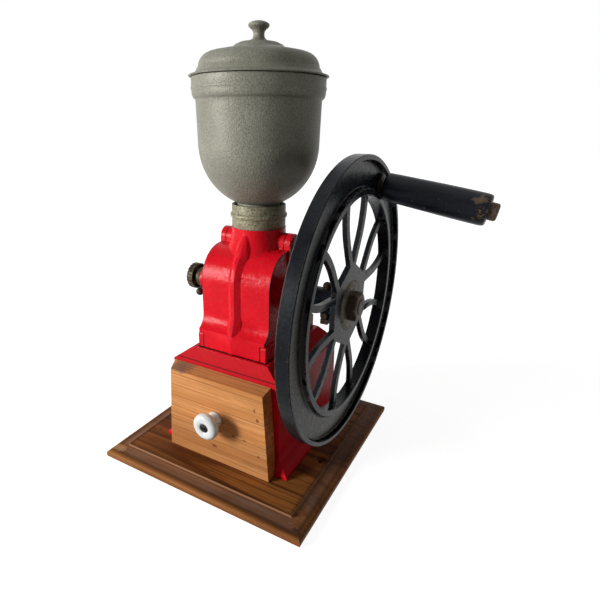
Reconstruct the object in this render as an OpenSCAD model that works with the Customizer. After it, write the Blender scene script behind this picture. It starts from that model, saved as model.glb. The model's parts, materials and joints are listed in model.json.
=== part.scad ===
// Coffee grinder mill with a flywheel. A cast-iron grinding head stands on a hipped
// base casting with a wooden drawer, all screwed to a moulded wooden board. A spun
// metal hopper feeds the burrs from above.
// Millimetres. +X points at the flywheel, -Y at the drawer front, +Z up. The origin
// lies on the board's underside, straight below the hopper.

/* [Board] */
// Width of the board, left to right
board_w = 227; // [205:1:260]
// Depth of the board, front to back
board_d = 234; // [215:1:260]
// How far the board's centre lies in front of the hopper
board_shift = 5.2; // [0:0.2:12]
// Thickness of the board at its raised field
board_t = 12; // [11:0.5:20]
// Width of the moulding round the field
mould_w = 16.6; // [12:0.2:20]
// Height of the rounded outer edge
nose_h = 7.5; // [5:0.1:8.5]
// Height of the little step up to the field
mould_step = 1.6; // [1:0.1:2]
// Bench screw hole, distance from the middle
bench_hole_x = 88.2; // [84:0.2:92]
// Bench screw hole, distance in front of the shaft
bench_hole_fwd = 25; // [10:0.5:50]
// Diameter of the bench screw holes
bench_hole_d = 5.2; // [4:0.1:6]
// Diameter of their countersinks
bench_sink_d = 11; // [8:0.2:12]

/* [Base casting] */
// Width over the eaves
base_w = 123; // [121:0.5:130]
// Depth over the eaves
base_d = 130; // [126:0.5:136]
// Height of the eaves above the board
eave_h = 94.6; // [92:0.2:104]
// Rise of the hipped top above the eaves
hip_rise = 13; // [11:0.2:16]
// Width of the flat on top
flat_w = 86; // [84:0.5:92]
// Depth of the flat on top
flat_d = 112; // [111:0.5:116]
// Width over the foot flanges
foot_w = 146; // [138:0.5:156]
// Depth over the foot flanges
foot_d = 140; // [136:0.5:146]
// Height of the moulded foot
foot_h = 20; // [14:0.5:26]
// Wall thickness
base_wall = 5; // [4:0.2:6]
// How far the rounded eave stands out of the wall
eave_out = 0.8; // [0.6:0.1:1.6]
// How much the walls flare from the eaves down to the foot
wall_flare = 1.6; // [0:0.1:2]
// Height of the rounded eave
eave_lip_h = 2.6; // [2:0.1:4]
// Hollowing of the hip slopes at their middle
hip_sag = 1; // [0:0.1:1.5]
// Diameter of the screw posts inside the corners
post_d = 8; // [7:0.2:9]
// Height of the screw posts
post_h = 22; // [18:0.5:30]

/* [Grinding head] */
// Width over the rims of the head casting
head_w = 74.8; // [73:0.2:78]
// Depth of the skirt at the bottom
skirt_d = 104; // [101:0.2:107]
// Height of the skirt
skirt_h = 19.5; // [18:0.2:21]
// Depth of the body above the skirt
waist_d = 87.8; // [86:0.2:91]
// Height of the body above the base casting
head_h = 98.3; // [96:0.2:102]
// Radius of the rounded shoulders
shoulder_r = 32.8; // [28:0.2:34]
// Depth of the pocket that takes a side plate
pocket_depth = 4.9; // [4.6:0.1:5.6]
// Thickness of the rim round the pocket
rim_t = 2; // [1.4:0.1:3]
// Diameter of the neck
neck_d = 52; // [50:0.5:56]
// Height of the neck's top above the base casting
neck_h = 115.8; // [114:0.2:122]
// Diameter of the throat down to the auger
throat_d = 34; // [28:0.5:35]
// Width of the rib at its foot
rib_w = 15; // [12:0.2:18]
// Width of the rib's crest
rib_crest_w = 4; // [2.6:0.1:6]
// How far the rib stands out of the body
rib_out = 4.1; // [3:0.1:5]
// Height of the shaft above the base casting
shaft_up = 53.5; // [52:0.1:56]

/* [Side plates] */
// Thickness of the plate inside its pocket
plate_t = 4.4; // [4:0.1:4.6]
// Height of the corner blocks
block_h = 15.8; // [14:0.2:17]
// Length of the corner blocks from front to back
block_l = 17; // [14:0.2:20]
// How far the corner blocks stand out of the rim
block_out = 1.1; // [0.5:0.1:2]
// Diameter of the upper lug
lug_d = 19; // [17:0.2:20]
// Height of the upper lug's middle above the base casting
lug_up = 102.6; // [101:0.2:103.4]
// Diameter of the slotted plate screws and of the head's bolts
bolt_d = 6; // [5:0.1:6]
// Width across flats of the bolts' heads
bolt_head_af = 10; // [9:0.1:11]
// Thickness of the bolts' heads
bolt_head_t = 4.2; // [3:0.1:6]
// Diameter of the plate screws' heads
screw_head_d = 10.4; // [9.4:0.1:11]
// Depth to which they are sunk
screw_sunk = 3; // [2.4:0.1:3.4]
// Diameter of the wheel-side bearing boss
right_boss_d = 32; // [28:0.5:36]
// Diameter of the adjuster-side boss
left_boss_d = 23; // [22:0.5:28]

/* [Shaft and burrs] */
// Diameter of the main shaft
shaft_d = 16; // [14:0.1:17]
// Diameter of the shaft's left journal
journal_d = 12; // [10:0.1:13]
// Wall of the bearing bushes
bush_wall = 2.6; // [2:0.1:3]
// Diameter of the auger
auger_d = 32; // [28:0.5:32]
// Pitch of the auger's flight
auger_pitch = 21; // [16:0.5:26]
// Diameter of the turning burr
burr_d = 62; // [56:0.5:64]
// Thickness of each burr
burr_t = 6; // [5:0.1:6]
// Gap between the burrs at their widest setting
burr_gap = 0.5; // [0.3:0.05:0.8]
// Number of teeth on each burr
burr_teeth = 24; // [12:1:30]

/* [Adjuster] */
// Diameter of the adjusting screw
adjust_d = 12; // [10:0.1:12.6]
// Outer diameter of the cupped adjusting knob
cup_d = 27.6; // [24:0.2:32]
// Thickness of the cupped knob
cup_t = 7; // [6:0.1:9]
// Number of notches round the knob
cup_notches = 20; // [12:1:28]
// Diameter of the lock nut
lock_nut_d = 20; // [17:0.2:24]
// Thickness of the lock nut
lock_nut_t = 6; // [5:0.1:7]
// Distance of the lever's ball from the shaft's axis
lever_r = 16.7; // [16:0.1:24]
// Diameter of the lever's ball
ball_d = 8; // [6:0.1:8]
// Angle of the hanging lever in front of straight down
lever_angle = 27; // [0:1:60]

/* [Flywheel] */
// Diameter of the wheel
wheel_d = 260; // [250:1:270]
// Width of the tread
wheel_w = 12; // [10:0.2:16]
// Distance of the wheel's outer face from the hopper's axis
wheel_x = 102.8; // [100:0.2:106]
// Width of the rim from its edge to the spokes
rim_w = 32.5; // [30:0.5:36]
// Width of the raised lip round the wheel's edge
wheel_lip_w = 4; // [3:0.1:5]
// Width of the raised ring round the spokes
wheel_ring_w = 5.8; // [4.6:0.1:7]
// Depth of the channel between the lip and the ring
channel_depth = 4.8; // [3.6:0.1:5.6]
// Number of spoke pairs
spoke_pairs = 6; // [5:1:7]
// Width of a spoke
spoke_w = 6; // [5:0.1:7]
// Thickness of a spoke
spoke_t = 4.4; // [3.4:0.1:5]
// Distance of a spoke from the pair's middle at the rim
spoke_spread = 21.2; // [18:0.2:23]
// Width of the hub plate across its flats
hub_af = 71; // [64:0.5:76]
// Thickness of the hub plate
hub_t = 5.2; // [4.6:0.1:7]
// Diameter of the barrel behind the hub plate
barrel_d = 24; // [23:0.2:30]
// Diameter of the dished washer
washer_d = 46; // [40:0.5:50]
// Thickness of the dished washer
washer_t = 2; // [1.5:0.1:3]
// Width across flats of the shaft nut
nut_af = 24; // [22:0.2:27]
// Thickness of the shaft nut
nut_t = 8.5; // [7:0.1:12]

/* [Handle] */
// Distance of the handle from the wheel's edge
handle_inset = 17.4; // [17:0.2:21]
// Angle of the handle above the level line towards the back
handle_angle = 63.7; // [0:0.1:90]
// Downward lean of the worn handle from the shaft's direction
handle_lean = 9; // [0:0.1:10]
// Length of the wooden grip
grip_l = 90.4; // [80:0.5:110]
// Diameter of the grip at the wheel
grip_d1 = 24.4; // [20:0.2:26]
// Diameter of the grip at its outer end
grip_d2 = 27; // [22:0.2:32]
// Diameter of the spindle inside the grip
spindle_d = 9; // [7:0.1:10]
// Diameter of the spindle's head
spindle_head_d = 14.8; // [12:0.2:18]
// Length of the spindle's head
spindle_head_l = 7; // [4:0.2:9]

/* [Hopper] */
// Outer diameter of the collar on the neck
collar_d = 51; // [50:0.2:54]
// Height of the collar
collar_h = 21.1; // [18:0.2:26]
// Outer diameter of the hopper's spout
spout_d = 40; // [36:0.2:41]
// Outer diameter of the bowl
bowl_d = 109; // [100:0.5:116]
// Height of the bowl's straight wall below the band
bowl_straight_h = 19.4; // [14:0.2:26]
// Height of the hopper's rim above the neck
hopper_h = 125.6; // [120:0.2:136]
// Thickness of the spun metal
sheet_t = 1.2; // [1:0.1:1.8]
// How far the rolled band stands out of the bowl
band_out = 3.2; // [2:0.1:4]
// Height of the rolled band
band_h = 16.6; // [12:0.2:20]
// How far the lid's rim reaches past the band
lid_over = 2; // [1:0.1:4]
// Rise of the lid's dome above its rim
dome_h = 21; // [19:0.2:25]
// Depth of the lid's inner skirt below the rim
lid_skirt_h = 8; // [5:0.2:12]
// Diameter of the lid's turned knob
lid_knob_d = 16.6; // [13:0.2:20]
// Height of the lid's turned knob
lid_knob_h = 16.1; // [13:0.2:22]

/* [Drawer] */
// Outer width of the drawer box
drawer_w = 95; // [88:0.5:96]
// Height of the drawer box
drawer_h = 76; // [60:0.5:82]
// Thickness of the sides and the back
drawer_side_t = 7; // [5:0.2:9]
// Thickness of the bottom panel
drawer_bottom_t = 4; // [3:0.1:5]
// Thickness of the drawer front
front_t = 15.3; // [12:0.1:18]
// Width of the drawer front at its top edge
front_top_w = 104.8; // [100:0.2:112]
// Width of the drawer front at its bottom edge
front_bottom_w = 119; // [112:0.2:124]
// Height of the drawer front
front_h = 93; // [90:0.2:94]
// Fall of its top edge towards the front
front_slope = 2; // [0:0.2:4]
// How much further its top left corner reaches at the back
front_splay = 7; // [0:0.5:8]
// Height of the knob above the board
knob_up = 51; // [44:0.2:58]
// Diameter of the porcelain knob
knob_d = 24; // [20:0.2:30]
// Length of the porcelain knob
knob_l = 19.6; // [16:0.2:26]

/* [Fits] */
// Radial clearance of a running fit
run_fit = 0.05; // [0.03:0.01:0.08]
// Clearance between pieces that are seated or screwed together
seat_fit = 0.05; // [0.02:0.01:0.1]
// Gap between neighbours that move past each other
move_gap = 0.3; // [0.2:0.05:0.5]
// Side play of the drawer in its opening
drawer_play = 0.8; // [0.5:0.1:1.5]

/* [Hidden] */
$fn = 64;

// Heights
eave_z = board_t + eave_h;
flat_z = eave_z + hip_rise;
shaft_z = flat_z + shaft_up;
head_top_z = flat_z + head_h;
neck_z = flat_z + neck_h;
lug_z = flat_z + lug_up;
far = 400;
eps = 0.01;

// Base casting
wall_x = base_w / 2 - eave_out;
wall_y = base_d / 2 - eave_out;
front_y = -wall_y;
cavity_x = wall_x - base_wall;
cavity_y = wall_y - base_wall;
ceiling_t = base_wall;
opening_half = drawer_w / 2 + drawer_play;
opening_top = eave_z - 8;
front_seat_half = min(front_bottom_w / 2 + 0.6, wall_x);
post_x = cavity_x - 3;
post_y = cavity_y - 14;
board_screw_d = 4.4;
board_screw_head_d = 9;
board_screw_head_t = 2.6;
post_hole_depth = 16;
head_bolt_x = 15;
head_bolt_y = 43;
head_bolt_reach = 14;
// Slot that drops the ground coffee into the drawer
chute_x0 = -32;
chute_x1 = -13;
chute_half_y = 20;
// Outline of the moulded foot, as shares of its reach and height
foot_shape = [[1, 0], [1, 0.17], [0.85, 0.23], [0.72, 0.33], [0.64, 0.45], [0.5, 0.58],
              [0.27, 0.67], [0.08, 0.84], [0, 1]];

// Grinding head
rim_x = head_w / 2;
pocket_x = rim_x - pocket_depth;
skirt_y = skirt_d / 2;
waist_y = waist_d / 2;
cove_end = 238;
cove_r = (skirt_y - waist_y) / (1 + cos(cove_end));
cove_z = skirt_h - cove_r * sin(cove_end);
shoulder_z = head_h - shoulder_r;
block_x = rim_x + block_out;
block_bolt_y = skirt_y - block_l / 2;
block_bolt_z = flat_z + block_h / 2;
tapped_depth = 10;
burr_room_d = burr_d + 10;
burr_wall_x = -19;
neck_sink = 20;
// Flare of the neck into the shoulders
flare_r = 38.5;
flare_turn = 40;
flare_top = neck_h - head_h - 3.2;
tab_drop = 14;
auger_bore_d = auger_d + 2;
plate_screw_list = [for (side = [-1, 1])
    each [[side, 0, lug_z], [side, -block_bolt_y, block_bolt_z], [side, block_bolt_y, block_bolt_z]]];

// Shaft line, from the adjuster on the left to the nut on the right
right_boss_x = 58.5;
left_boss_x = -66.6;
fixed_burr_x = burr_wall_x - burr_t;
turning_burr_x = fixed_burr_x - burr_gap - burr_t;
journal_x = -pocket_x + 1;
thrust_x = -52;
lock_nut_x = left_boss_x - move_gap - lock_nut_t;
cup_x = -82;
wheel_back_x = wheel_x - wheel_w;
hub_front_x = wheel_x - 5.3;
hub_back_x = hub_front_x - hub_t;
barrel_x = right_boss_x + move_gap;
hub_recess = 0.8;
washer_x = hub_front_x - hub_recess;
nut_x = washer_x + washer_t;
shaft_end_x = nut_x + nut_t + 1;
set_screw_x = 74;
set_screw_d = 6;

// Flywheel
wheel_r = wheel_d / 2;
rim_in_r = wheel_r - rim_w;
ring_r = rim_in_r + wheel_ring_w;
rim_ring_x = wheel_x - 0.5;
channel_x = wheel_x - channel_depth;
spoke_front_x = hub_front_x;
spoke_angle = 26;
spoke_root_r = hub_af / 2 - 0.5;
spoke_root_off = 2.4;
spoke_end_r = rim_in_r - 6.5;
// Radius of the bend that turns a straight spoke parallel to its pair's middle
spoke_bend_r = ((spoke_end_r - spoke_root_r) * tan(spoke_angle) - spoke_spread + spoke_root_off)
    / (sin(spoke_angle) * tan(spoke_angle) - 1 + cos(spoke_angle));

// Handle
handle_r = wheel_r - handle_inset;
handle_y = handle_r * cos(handle_angle);
handle_z = shaft_z + handle_r * sin(handle_angle);
handle_boss_d = 22;
handle_boss_x = wheel_x - 2.4;
handle_washer_t = 1.5;
spindle_foot_d = 10;
spindle_nut_t = 5;
grip_start = 2.4;
grip_end = grip_start + grip_l;

// Hopper
collar_floor = 3;
collar_mouth_d = collar_d - 4;
collar_mouth_h = 6;
collar_bead_h = 11;
rim_z = neck_z + hopper_h;
bowl_r = bowl_d / 2;
bowl_round_z = rim_z - band_h - bowl_straight_h;
spout_r = spout_d / 2;
// The rounded bottom meets the spout just above the collar's mouth
bowl_foot_z = neck_z + collar_h + 0.6;
bowl_round_h = (bowl_round_z - bowl_foot_z) / sin(acos(spout_r / bowl_r));
band_r = bowl_r + band_out;
lid_z = rim_z + move_gap;
lid_r = band_r + lid_over;
lid_skirt_r = bowl_r - sheet_t - move_gap - 0.3;
lid_top_z = lid_z + sheet_t + dome_h + 3.7;

// Drawer
drawer_z = board_t + move_gap;
drawer_back_y = cavity_y - 6;
front_back_y = -base_d / 2 - move_gap;
front_face_y = front_back_y - front_t;
drawer_floor_z = drawer_z + 3;
groove_t = 3;
knob_z = board_t + knob_up;
knob_screw_d = 4;

// ---- helpers ----

// Points along an arc in the plane
function arc(c, r, a0, a1, n = 8) =
    [for (i = [0:n]) let (a = a0 + (a1 - a0) * i / n) [c[0] + r * cos(a), c[1] + r * sin(a)]];

// Points along a quarter of an ellipse below its centre, from near the axis outwards
function bowl_curve(a, b, cz, r0, n = 14) =
    let (t0 = acos(r0 / a)) [for (i = [0:n]) let (t = t0 * (1 - i / n)) [a * cos(t), cz - b * sin(t)]];

// Closes a right-hand outline with its mirror image
function both_sides(p) = concat(p, [for (i = [len(p) - 1:-1:0]) [-p[i][0], p[i][1]]]);

// Stands a (y, z) outline up along X
module along_x(x0, x1) {
    translate([x0, 0, 0]) rotate([90, 0, 90]) linear_extrude(x1 - x0) children();
}

// Stands an (x, z) outline up along Y
module along_y(y0, y1) {
    translate([0, y1, 0]) rotate([90, 0, 0]) linear_extrude(y1 - y0) children();
}

// Round bar along X through the origin
module bar_x(d, x0, x1) {
    translate([x0, 0, 0]) rotate([0, 90, 0]) cylinder(d = d, h = x1 - x0);
}

// Turned piece round the X axis from an (r, x) outline
module turned_x() {
    rotate([0, 90, 0]) rotate_extrude() children();
}

// Hexagon bar along X
module hex_x(af, x0, x1) {
    along_x(x0, x1) circle(d = af / cos(30), $fn = 6);
}

module on_shaft() {
    translate([0, 0, shaft_z]) children();
}

// ---- board and base ----

// Right-hand half of the board's section
function board_edge(half) = concat(
    [[half - 1, 0], [half, 1]],
    arc([half - 3, nose_h - 3], 3, 0, 75, 4),
    [[half - mould_w / 2, (nose_h + board_t - mould_step) / 2 - 0.8],
     [half - mould_w, board_t - mould_step], [half - mould_w, board_t]]);

module base_board() {
    color("#7a4a26") difference() {
        translate([0, -board_shift, 0]) intersection() {
            along_y(-far, far) polygon(both_sides(board_edge(board_w / 2)));
            along_x(-far, far) polygon(both_sides(board_edge(board_d / 2)));
        }
        for (side = [-1, 1]) translate([side * bench_hole_x, -bench_hole_fwd, 0]) {
            translate([0, 0, -1]) cylinder(d = bench_hole_d, h = board_t + 2);
            translate([0, 0, board_t - (bench_sink_d - bench_hole_d) / 2])
                cylinder(d1 = bench_hole_d, d2 = bench_sink_d + 1, h = (bench_sink_d + 1 - bench_hole_d) / 2);
        }
        for (x = [-post_x, post_x], y = [-post_y, post_y]) translate([x, y, -1]) {
            cylinder(d = board_screw_d + 2 * seat_fit, h = board_t + 2);
            cylinder(d = board_screw_head_d + 1, h = 1 + board_screw_head_t + 1);
        }
    }
}

module board_screws() {
    color("#6b6257") for (x = [-post_x, post_x], y = [-post_y, post_y]) translate([x, y, 1]) {
        difference() {
            cylinder(d = board_screw_head_d, h = board_screw_head_t);
            translate([-board_screw_head_d, -0.6, -1]) cube([2 * board_screw_head_d, 1.2, 2]);
        }
        cylinder(d = board_screw_d, h = board_t + post_hole_depth - 4);
    }
}

// Right-hand half of the base casting's section, from the foot to the flat on top
function casting_edge(wall, foot, eave, flat) = concat(
    [for (p = foot_shape) [wall + wall_flare + p[0] * (foot - wall - wall_flare), board_t + p[1] * foot_h]],
    [[wall, eave_z - eave_lip_h - eave_out], [eave, eave_z - eave_lip_h], [eave, eave_z - 0.8],
     [eave - 0.8, eave_z], [(eave + flat) / 2, (eave_z + flat_z) / 2 - hip_sag], [flat, flat_z]]);

function cavity_edge(half, flat) =
    [[half, board_t - 1], [half, eave_z - 5], [flat - 4, flat_z - ceiling_t]];

module base_casting() {
    color("#c81426") difference() {
        union() {
            difference() {
                intersection() {
                    along_y(-far, far)
                        polygon(both_sides(casting_edge(wall_x, foot_w / 2, base_w / 2, flat_w / 2)));
                    along_x(-far, far)
                        polygon(both_sides(casting_edge(wall_y, foot_d / 2, base_d / 2, flat_d / 2)));
                }
                intersection() {
                    along_y(-far, far) polygon(both_sides(cavity_edge(cavity_x, flat_w / 2)));
                    along_x(-far, far) polygon(both_sides(cavity_edge(cavity_y, flat_d / 2)));
                }
                translate([-opening_half, -far, board_t - 1])
                    cube([2 * opening_half, far, opening_top - board_t + 1]);
                translate([-front_seat_half, front_y - far, board_t - 1])
                    cube([2 * front_seat_half, far, eave_z - eave_lip_h - eave_out - board_t + 1]);
            }
            for (x = [-post_x, post_x], y = [-post_y, post_y])
                translate([x, y, board_t]) cylinder(d = post_d, h = post_h);
        }
        for (x = [-post_x, post_x], y = [-post_y, post_y])
            translate([x, y, board_t - 1]) cylinder(d = board_screw_d + 2 * seat_fit, h = post_hole_depth + 1);
        for (x = [-head_bolt_x, head_bolt_x], y = [-head_bolt_y, head_bolt_y])
            translate([x, y, flat_z - ceiling_t - 1]) cylinder(d = bolt_d + 2 * seat_fit, h = ceiling_t + 2);
        translate([chute_x0, -chute_half_y, flat_z - ceiling_t - 1])
            cube([chute_x1 - chute_x0, 2 * chute_half_y, ceiling_t + 2]);
    }
}

module head_bolts() {
    color("#555048") for (x = [-head_bolt_x, head_bolt_x], y = [-head_bolt_y, head_bolt_y])
        translate([x, y, flat_z - ceiling_t]) {
            translate([0, 0, -bolt_head_t]) cylinder(d = bolt_head_af / cos(30), h = bolt_head_t, $fn = 6);
            translate([0, 0, -eps]) cylinder(d = bolt_d, h = ceiling_t + head_bolt_reach - 2);
        }
}

// ---- grinding head ----

// Right-hand half of the head's outline seen from the side, drawn in by d all round
function head_edge(d) = concat(
    [[skirt_y - d, 0], [skirt_y - d, skirt_h - 0.6 - d]],
    arc([waist_y + cove_r, cove_z], cove_r + d, cove_end, 180, 7),
    arc([waist_y - shoulder_r, shoulder_z], shoulder_r - d, 0, 90, 10));

module head_outline(d) {
    translate([0, flat_z]) polygon(both_sides(head_edge(d)));
}

// Corner block and lug tab of a side plate, grown by g for the pocket that takes them
module plate_ends(g) {
    for (end = [-1, 1]) scale([end, 1]) {
        difference() {
            translate([skirt_y - block_l - g, flat_z - g])
                square([block_l + (g > 0 ? far : 0), block_h + 2 * g]);
            if (g == 0) difference() {
                translate([skirt_y - 3, flat_z + block_h - 3]) square(4);
                translate([skirt_y - 3, flat_z + block_h - 3]) circle(3);
            }
        }
    }
    translate([0, lug_z]) circle(d = lug_d + 2 * g);
    translate([-lug_d / 2 - g, head_top_z - tab_drop - g])
        square([lug_d + 2 * g, lug_z - head_top_z + tab_drop + g]);
}

// One stretch of a rib, sloping from its foot to its crest
module rib_stretch(foot, crest) {
    hull() {
        along_x(-rib_w / 2, rib_w / 2) translate([0, flat_z]) polygon(foot);
        along_x(-rib_crest_w / 2, rib_crest_w / 2) translate([0, flat_z]) polygon(crest);
    }
}

// Rib down the middle of the front and the back
module head_rib() {
    middle = [waist_y - shoulder_r, shoulder_z];
    knee = waist_y + rib_out;
    for (end = [0, 1]) mirror([0, end, 0]) {
        rib_stretch([[20, 0], [skirt_y - 1, 0], [skirt_y - 1, skirt_h - 1], [20, skirt_h - 1]],
            [[20, 0], [skirt_y + 1, 0], [skirt_y + 1.4, skirt_h], [20, skirt_h]]);
        rib_stretch([[20, skirt_h - 2], [skirt_y - 3, skirt_h - 2], [waist_y - 0.5, cove_z + 3], [20, cove_z + 3]],
            [[20, skirt_h], [skirt_y + 1.4, skirt_h], [knee, cove_z + 3], [20, cove_z + 3]]);
        rib_stretch(concat([[20, cove_z + 3], [waist_y - 0.5, cove_z + 3]],
                arc(middle, shoulder_r - 0.5, 0, 60, 6), [[20, shoulder_z + 20]]),
            concat([[20, cove_z + 3], [knee, cove_z + 3]], arc(middle, shoulder_r + rib_out, 0, 50, 6),
                [[20, shoulder_z + 20]]));
        rib_stretch([[20, shoulder_z + 16], middle + (shoulder_r - 1) * [cos(40), sin(40)],
                [neck_d / 2 - 4.5, neck_h - 6], [20, neck_h - 6]],
            [[20, shoulder_z + 16], middle + (shoulder_r + rib_out) * [cos(50), sin(50)],
                [neck_d / 2 + 0.7, neck_h - 5], [20, neck_h - 5]]);
    }
}

module head_casting() {
    color("#c81426") difference() {
        union() {
            along_x(-rim_x, rim_x) head_outline(0);
            translate([0, 0, head_top_z - neck_sink]) cylinder(d = neck_d, h = neck_z - head_top_z + neck_sink);
            translate([0, 0, head_top_z]) rotate_extrude() polygon(concat(
                [[0, flare_top - flare_r * sin(flare_turn)]],
                arc([neck_d / 2 + flare_r, flare_top], flare_r, 180 + flare_turn, 180, 8), [[0, flare_top]]));
            head_rib();
            translate([0, 0, lug_z]) bar_x(lug_d, -pocket_x, pocket_x);
            translate([-pocket_x, -lug_d / 2, head_top_z - 8])
                cube([2 * pocket_x, lug_d, lug_z - head_top_z + 8]);
        }
        for (side = [0, 1]) mirror([side, 0, 0]) {
            along_x(pocket_x, far) head_outline(rim_t);
            along_x(pocket_x, far) plate_ends(move_gap);
        }
        on_shaft() {
            bar_x(burr_room_d, -far, burr_wall_x);
            bar_x(auger_bore_d, burr_wall_x - 1, far);
        }
        translate([0, 0, shaft_z]) cylinder(d = throat_d, h = far);
        translate([chute_x0, -chute_half_y, flat_z - 1])
            cube([chute_x1 - chute_x0 - 6, 2 * chute_half_y, shaft_up - 20]);
        translate([chute_x0, -chute_half_y, flat_z - 1])
            cube([chute_x1 - chute_x0, 2 * chute_half_y, 9]);
        for (b = plate_screw_list)
            translate([b[0] > 0 ? pocket_x - tapped_depth : -pocket_x - 1, b[1], b[2]])
                bar_x(bolt_d + 2 * seat_fit, 0, tapped_depth + 1);
        for (x = [-head_bolt_x, head_bolt_x], y = [-head_bolt_y, head_bolt_y])
            translate([x, y, flat_z - 1]) cylinder(d = bolt_d + 2 * seat_fit, h = head_bolt_reach + 1);
        burr_screw_places() bar_x(burr_screw_d, -burr_screw_l, 1);
    }
}

// Side plate as seen on the wheel side; the boss's length and the bores come in
module side_plate(boss_d, boss_x, bore_d, inner_bore_d, inner_bore_x) {
    difference() {
        union() {
            along_x(pocket_x, pocket_x + plate_t) head_outline(rim_t + move_gap);
            along_x(pocket_x, block_x) plate_ends(0);
            on_shaft() {
                bar_x(boss_d, pocket_x, boss_x);
                translate([pocket_x + plate_t - eps, 0, 0]) rotate([0, 90, 0])
                    cylinder(d1 = boss_d + 10, d2 = boss_d, h = 5);
            }
        }
        on_shaft() {
            bar_x(bore_d, 0, far);
            bar_x(inner_bore_d, 0, inner_bore_x);
        }
        for (b = plate_screw_list) translate([0, b[1], b[2]]) {
            bar_x(bolt_d + 2 * seat_fit, 0, far);
            bar_x(screw_head_d + 2 * seat_fit, block_x - screw_sunk, far);
        }
    }
}

module right_side_plate() {
    color("#b01020") difference() {
        side_plate(right_boss_d, right_boss_x, shaft_d + 2 * bush_wall + 2 * seat_fit,
                   shaft_d + 2 * bush_wall + 2 * seat_fit, far);
        translate([(pocket_x + right_boss_x) / 2 + 3, 0, shaft_z]) cylinder(d = 3, h = far);
    }
}

module left_side_plate() {
    color("#b01020") mirror([1, 0, 0])
        side_plate(left_boss_d, -left_boss_x, adjust_d + 2 * run_fit,
                   journal_d + 2 * bush_wall + 2 * seat_fit, -thrust_x - 2);
}

module plate_screws() {
    head_x = block_x - screw_sunk;
    color("#8c1420") for (b = plate_screw_list) scale([b[0], 1, 1]) translate([0, b[1], b[2]]) {
        bar_x(bolt_d, pocket_x - tapped_depth + 1, head_x + eps);
        difference() {
            bar_x(screw_head_d, head_x, block_x + 0.5);
            rotate([b[2] > lug_z - 1 ? 20 : 65, 0, 0])
                translate([block_x - 0.9, -screw_head_d, -0.7]) cube([2, 2 * screw_head_d, 1.4]);
        }
    }
}

module right_bush() {
    color("#a8884c") on_shaft() difference() {
        bar_x(shaft_d + 2 * bush_wall, pocket_x, right_boss_x - move_gap);
        bar_x(shaft_d + 2 * run_fit, 0, far);
        translate([(pocket_x + right_boss_x) / 2 + 3, 0, 0]) cylinder(d = 3, h = far);
    }
}

module left_bush() {
    color("#a8884c") on_shaft() difference() {
        bar_x(journal_d + 2 * bush_wall, thrust_x + 2, -pocket_x);
        bar_x(journal_d + 2 * run_fit, -far, 0);
    }
}

// ---- shaft, auger and burrs ----

burr_bore_d = auger_d + 3;
burr_screw_d = 4;
burr_screw_l = 5;
burr_screw_r = (burr_bore_d + burr_d) / 4;
burr_pin_d = 3;

module main_shaft() {
    color("#8b857b") on_shaft() difference() {
        union() {
            bar_x(shaft_d, journal_x, shaft_end_x - 1);
            translate([shaft_end_x - 1, 0, 0]) rotate([0, 90, 0]) cylinder(d1 = shaft_d, d2 = shaft_d - 2, h = 1);
            bar_x(journal_d, thrust_x + move_gap, journal_x + eps);
        }
        translate([turning_burr_x + burr_t / 2, 0, -far / 2]) cylinder(d = burr_pin_d + 2 * seat_fit, h = far);
    }
}

module feed_auger() {
    auger_x = burr_wall_x + 1;
    auger_l = pocket_x - 4 - auger_x;
    flight = 70;
    color("#6f6a63") on_shaft() difference() {
        union() {
            bar_x(shaft_d + 6, auger_x, auger_x + auger_l);
            translate([auger_x, 0, 0]) rotate([0, 90, 0])
                linear_extrude(auger_l, twist = -360 * auger_l / auger_pitch, slices = 26)
                    polygon(concat([[0, 0]], arc([0, 0], auger_d / 2, -flight / 2, flight / 2, 3)));
        }
        bar_x(shaft_d + 2 * seat_fit, -far, far);
    }
}

// Cutting grooves of a burr, slanted from the radius; the toothed face is at x = 0
module burr_grooves(inner_d) {
    for (i = [0:burr_teeth - 1]) rotate([i * 360 / burr_teeth, 0, 0])
        translate([-1.4, 0, inner_d / 2 - 2]) rotate([18, 0, 0]) translate([0, -1, 0]) cube([2.8, 2, burr_d / 2]);
}

module burr_screw_places() {
    on_shaft() for (a = [30, 150, 270]) rotate([a, 0, 0]) translate([burr_wall_x + burr_screw_l, 0, burr_screw_r])
        children();
}

module fixed_burr() {
    color("#77726a") difference() {
        on_shaft() difference() {
            bar_x(burr_d, fixed_burr_x, burr_wall_x);
            bar_x(burr_bore_d, -far, far);
            translate([fixed_burr_x, 0, 0]) burr_grooves(burr_bore_d);
        }
        burr_screw_places() {
            bar_x(burr_screw_d + 2 * seat_fit, -far, far);
            bar_x(burr_screw_d + 4, -far, -burr_screw_l - burr_t + 3.4);
        }
    }
}

module fixed_burr_screws() {
    color("#555048") burr_screw_places() {
        bar_x(burr_screw_d - 2 * seat_fit, -burr_screw_l - burr_t + 1.6, -1);
        bar_x(burr_screw_d + 3.4, -burr_screw_l - burr_t + 1.6, -burr_screw_l - burr_t + 3.4);
    }
}

module rotating_burr() {
    color("#77726a") on_shaft() difference() {
        bar_x(burr_d, turning_burr_x, turning_burr_x + burr_t);
        bar_x(shaft_d + 2 * seat_fit, -far, far);
        translate([turning_burr_x + burr_t, 0, 0]) burr_grooves(burr_bore_d);
        translate([turning_burr_x + burr_t - 1, 0, 0]) bar_x(burr_bore_d - 2, 0, far);
        translate([turning_burr_x + burr_t / 2, 0, -shaft_d / 2 - 5])
            cylinder(d = burr_pin_d + 2 * seat_fit, h = shaft_d + 10);
    }
}

module burr_pin() {
    color("#555048") translate([turning_burr_x + burr_t / 2, 0, shaft_z - shaft_d / 2 - 4.5])
        cylinder(d = burr_pin_d, h = shaft_d + 9);
}

// ---- adjuster ----

module adjusting_screw() {
    color("#7d776c") on_shaft() bar_x(adjust_d, cup_x - 1.5, thrust_x);
}

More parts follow.
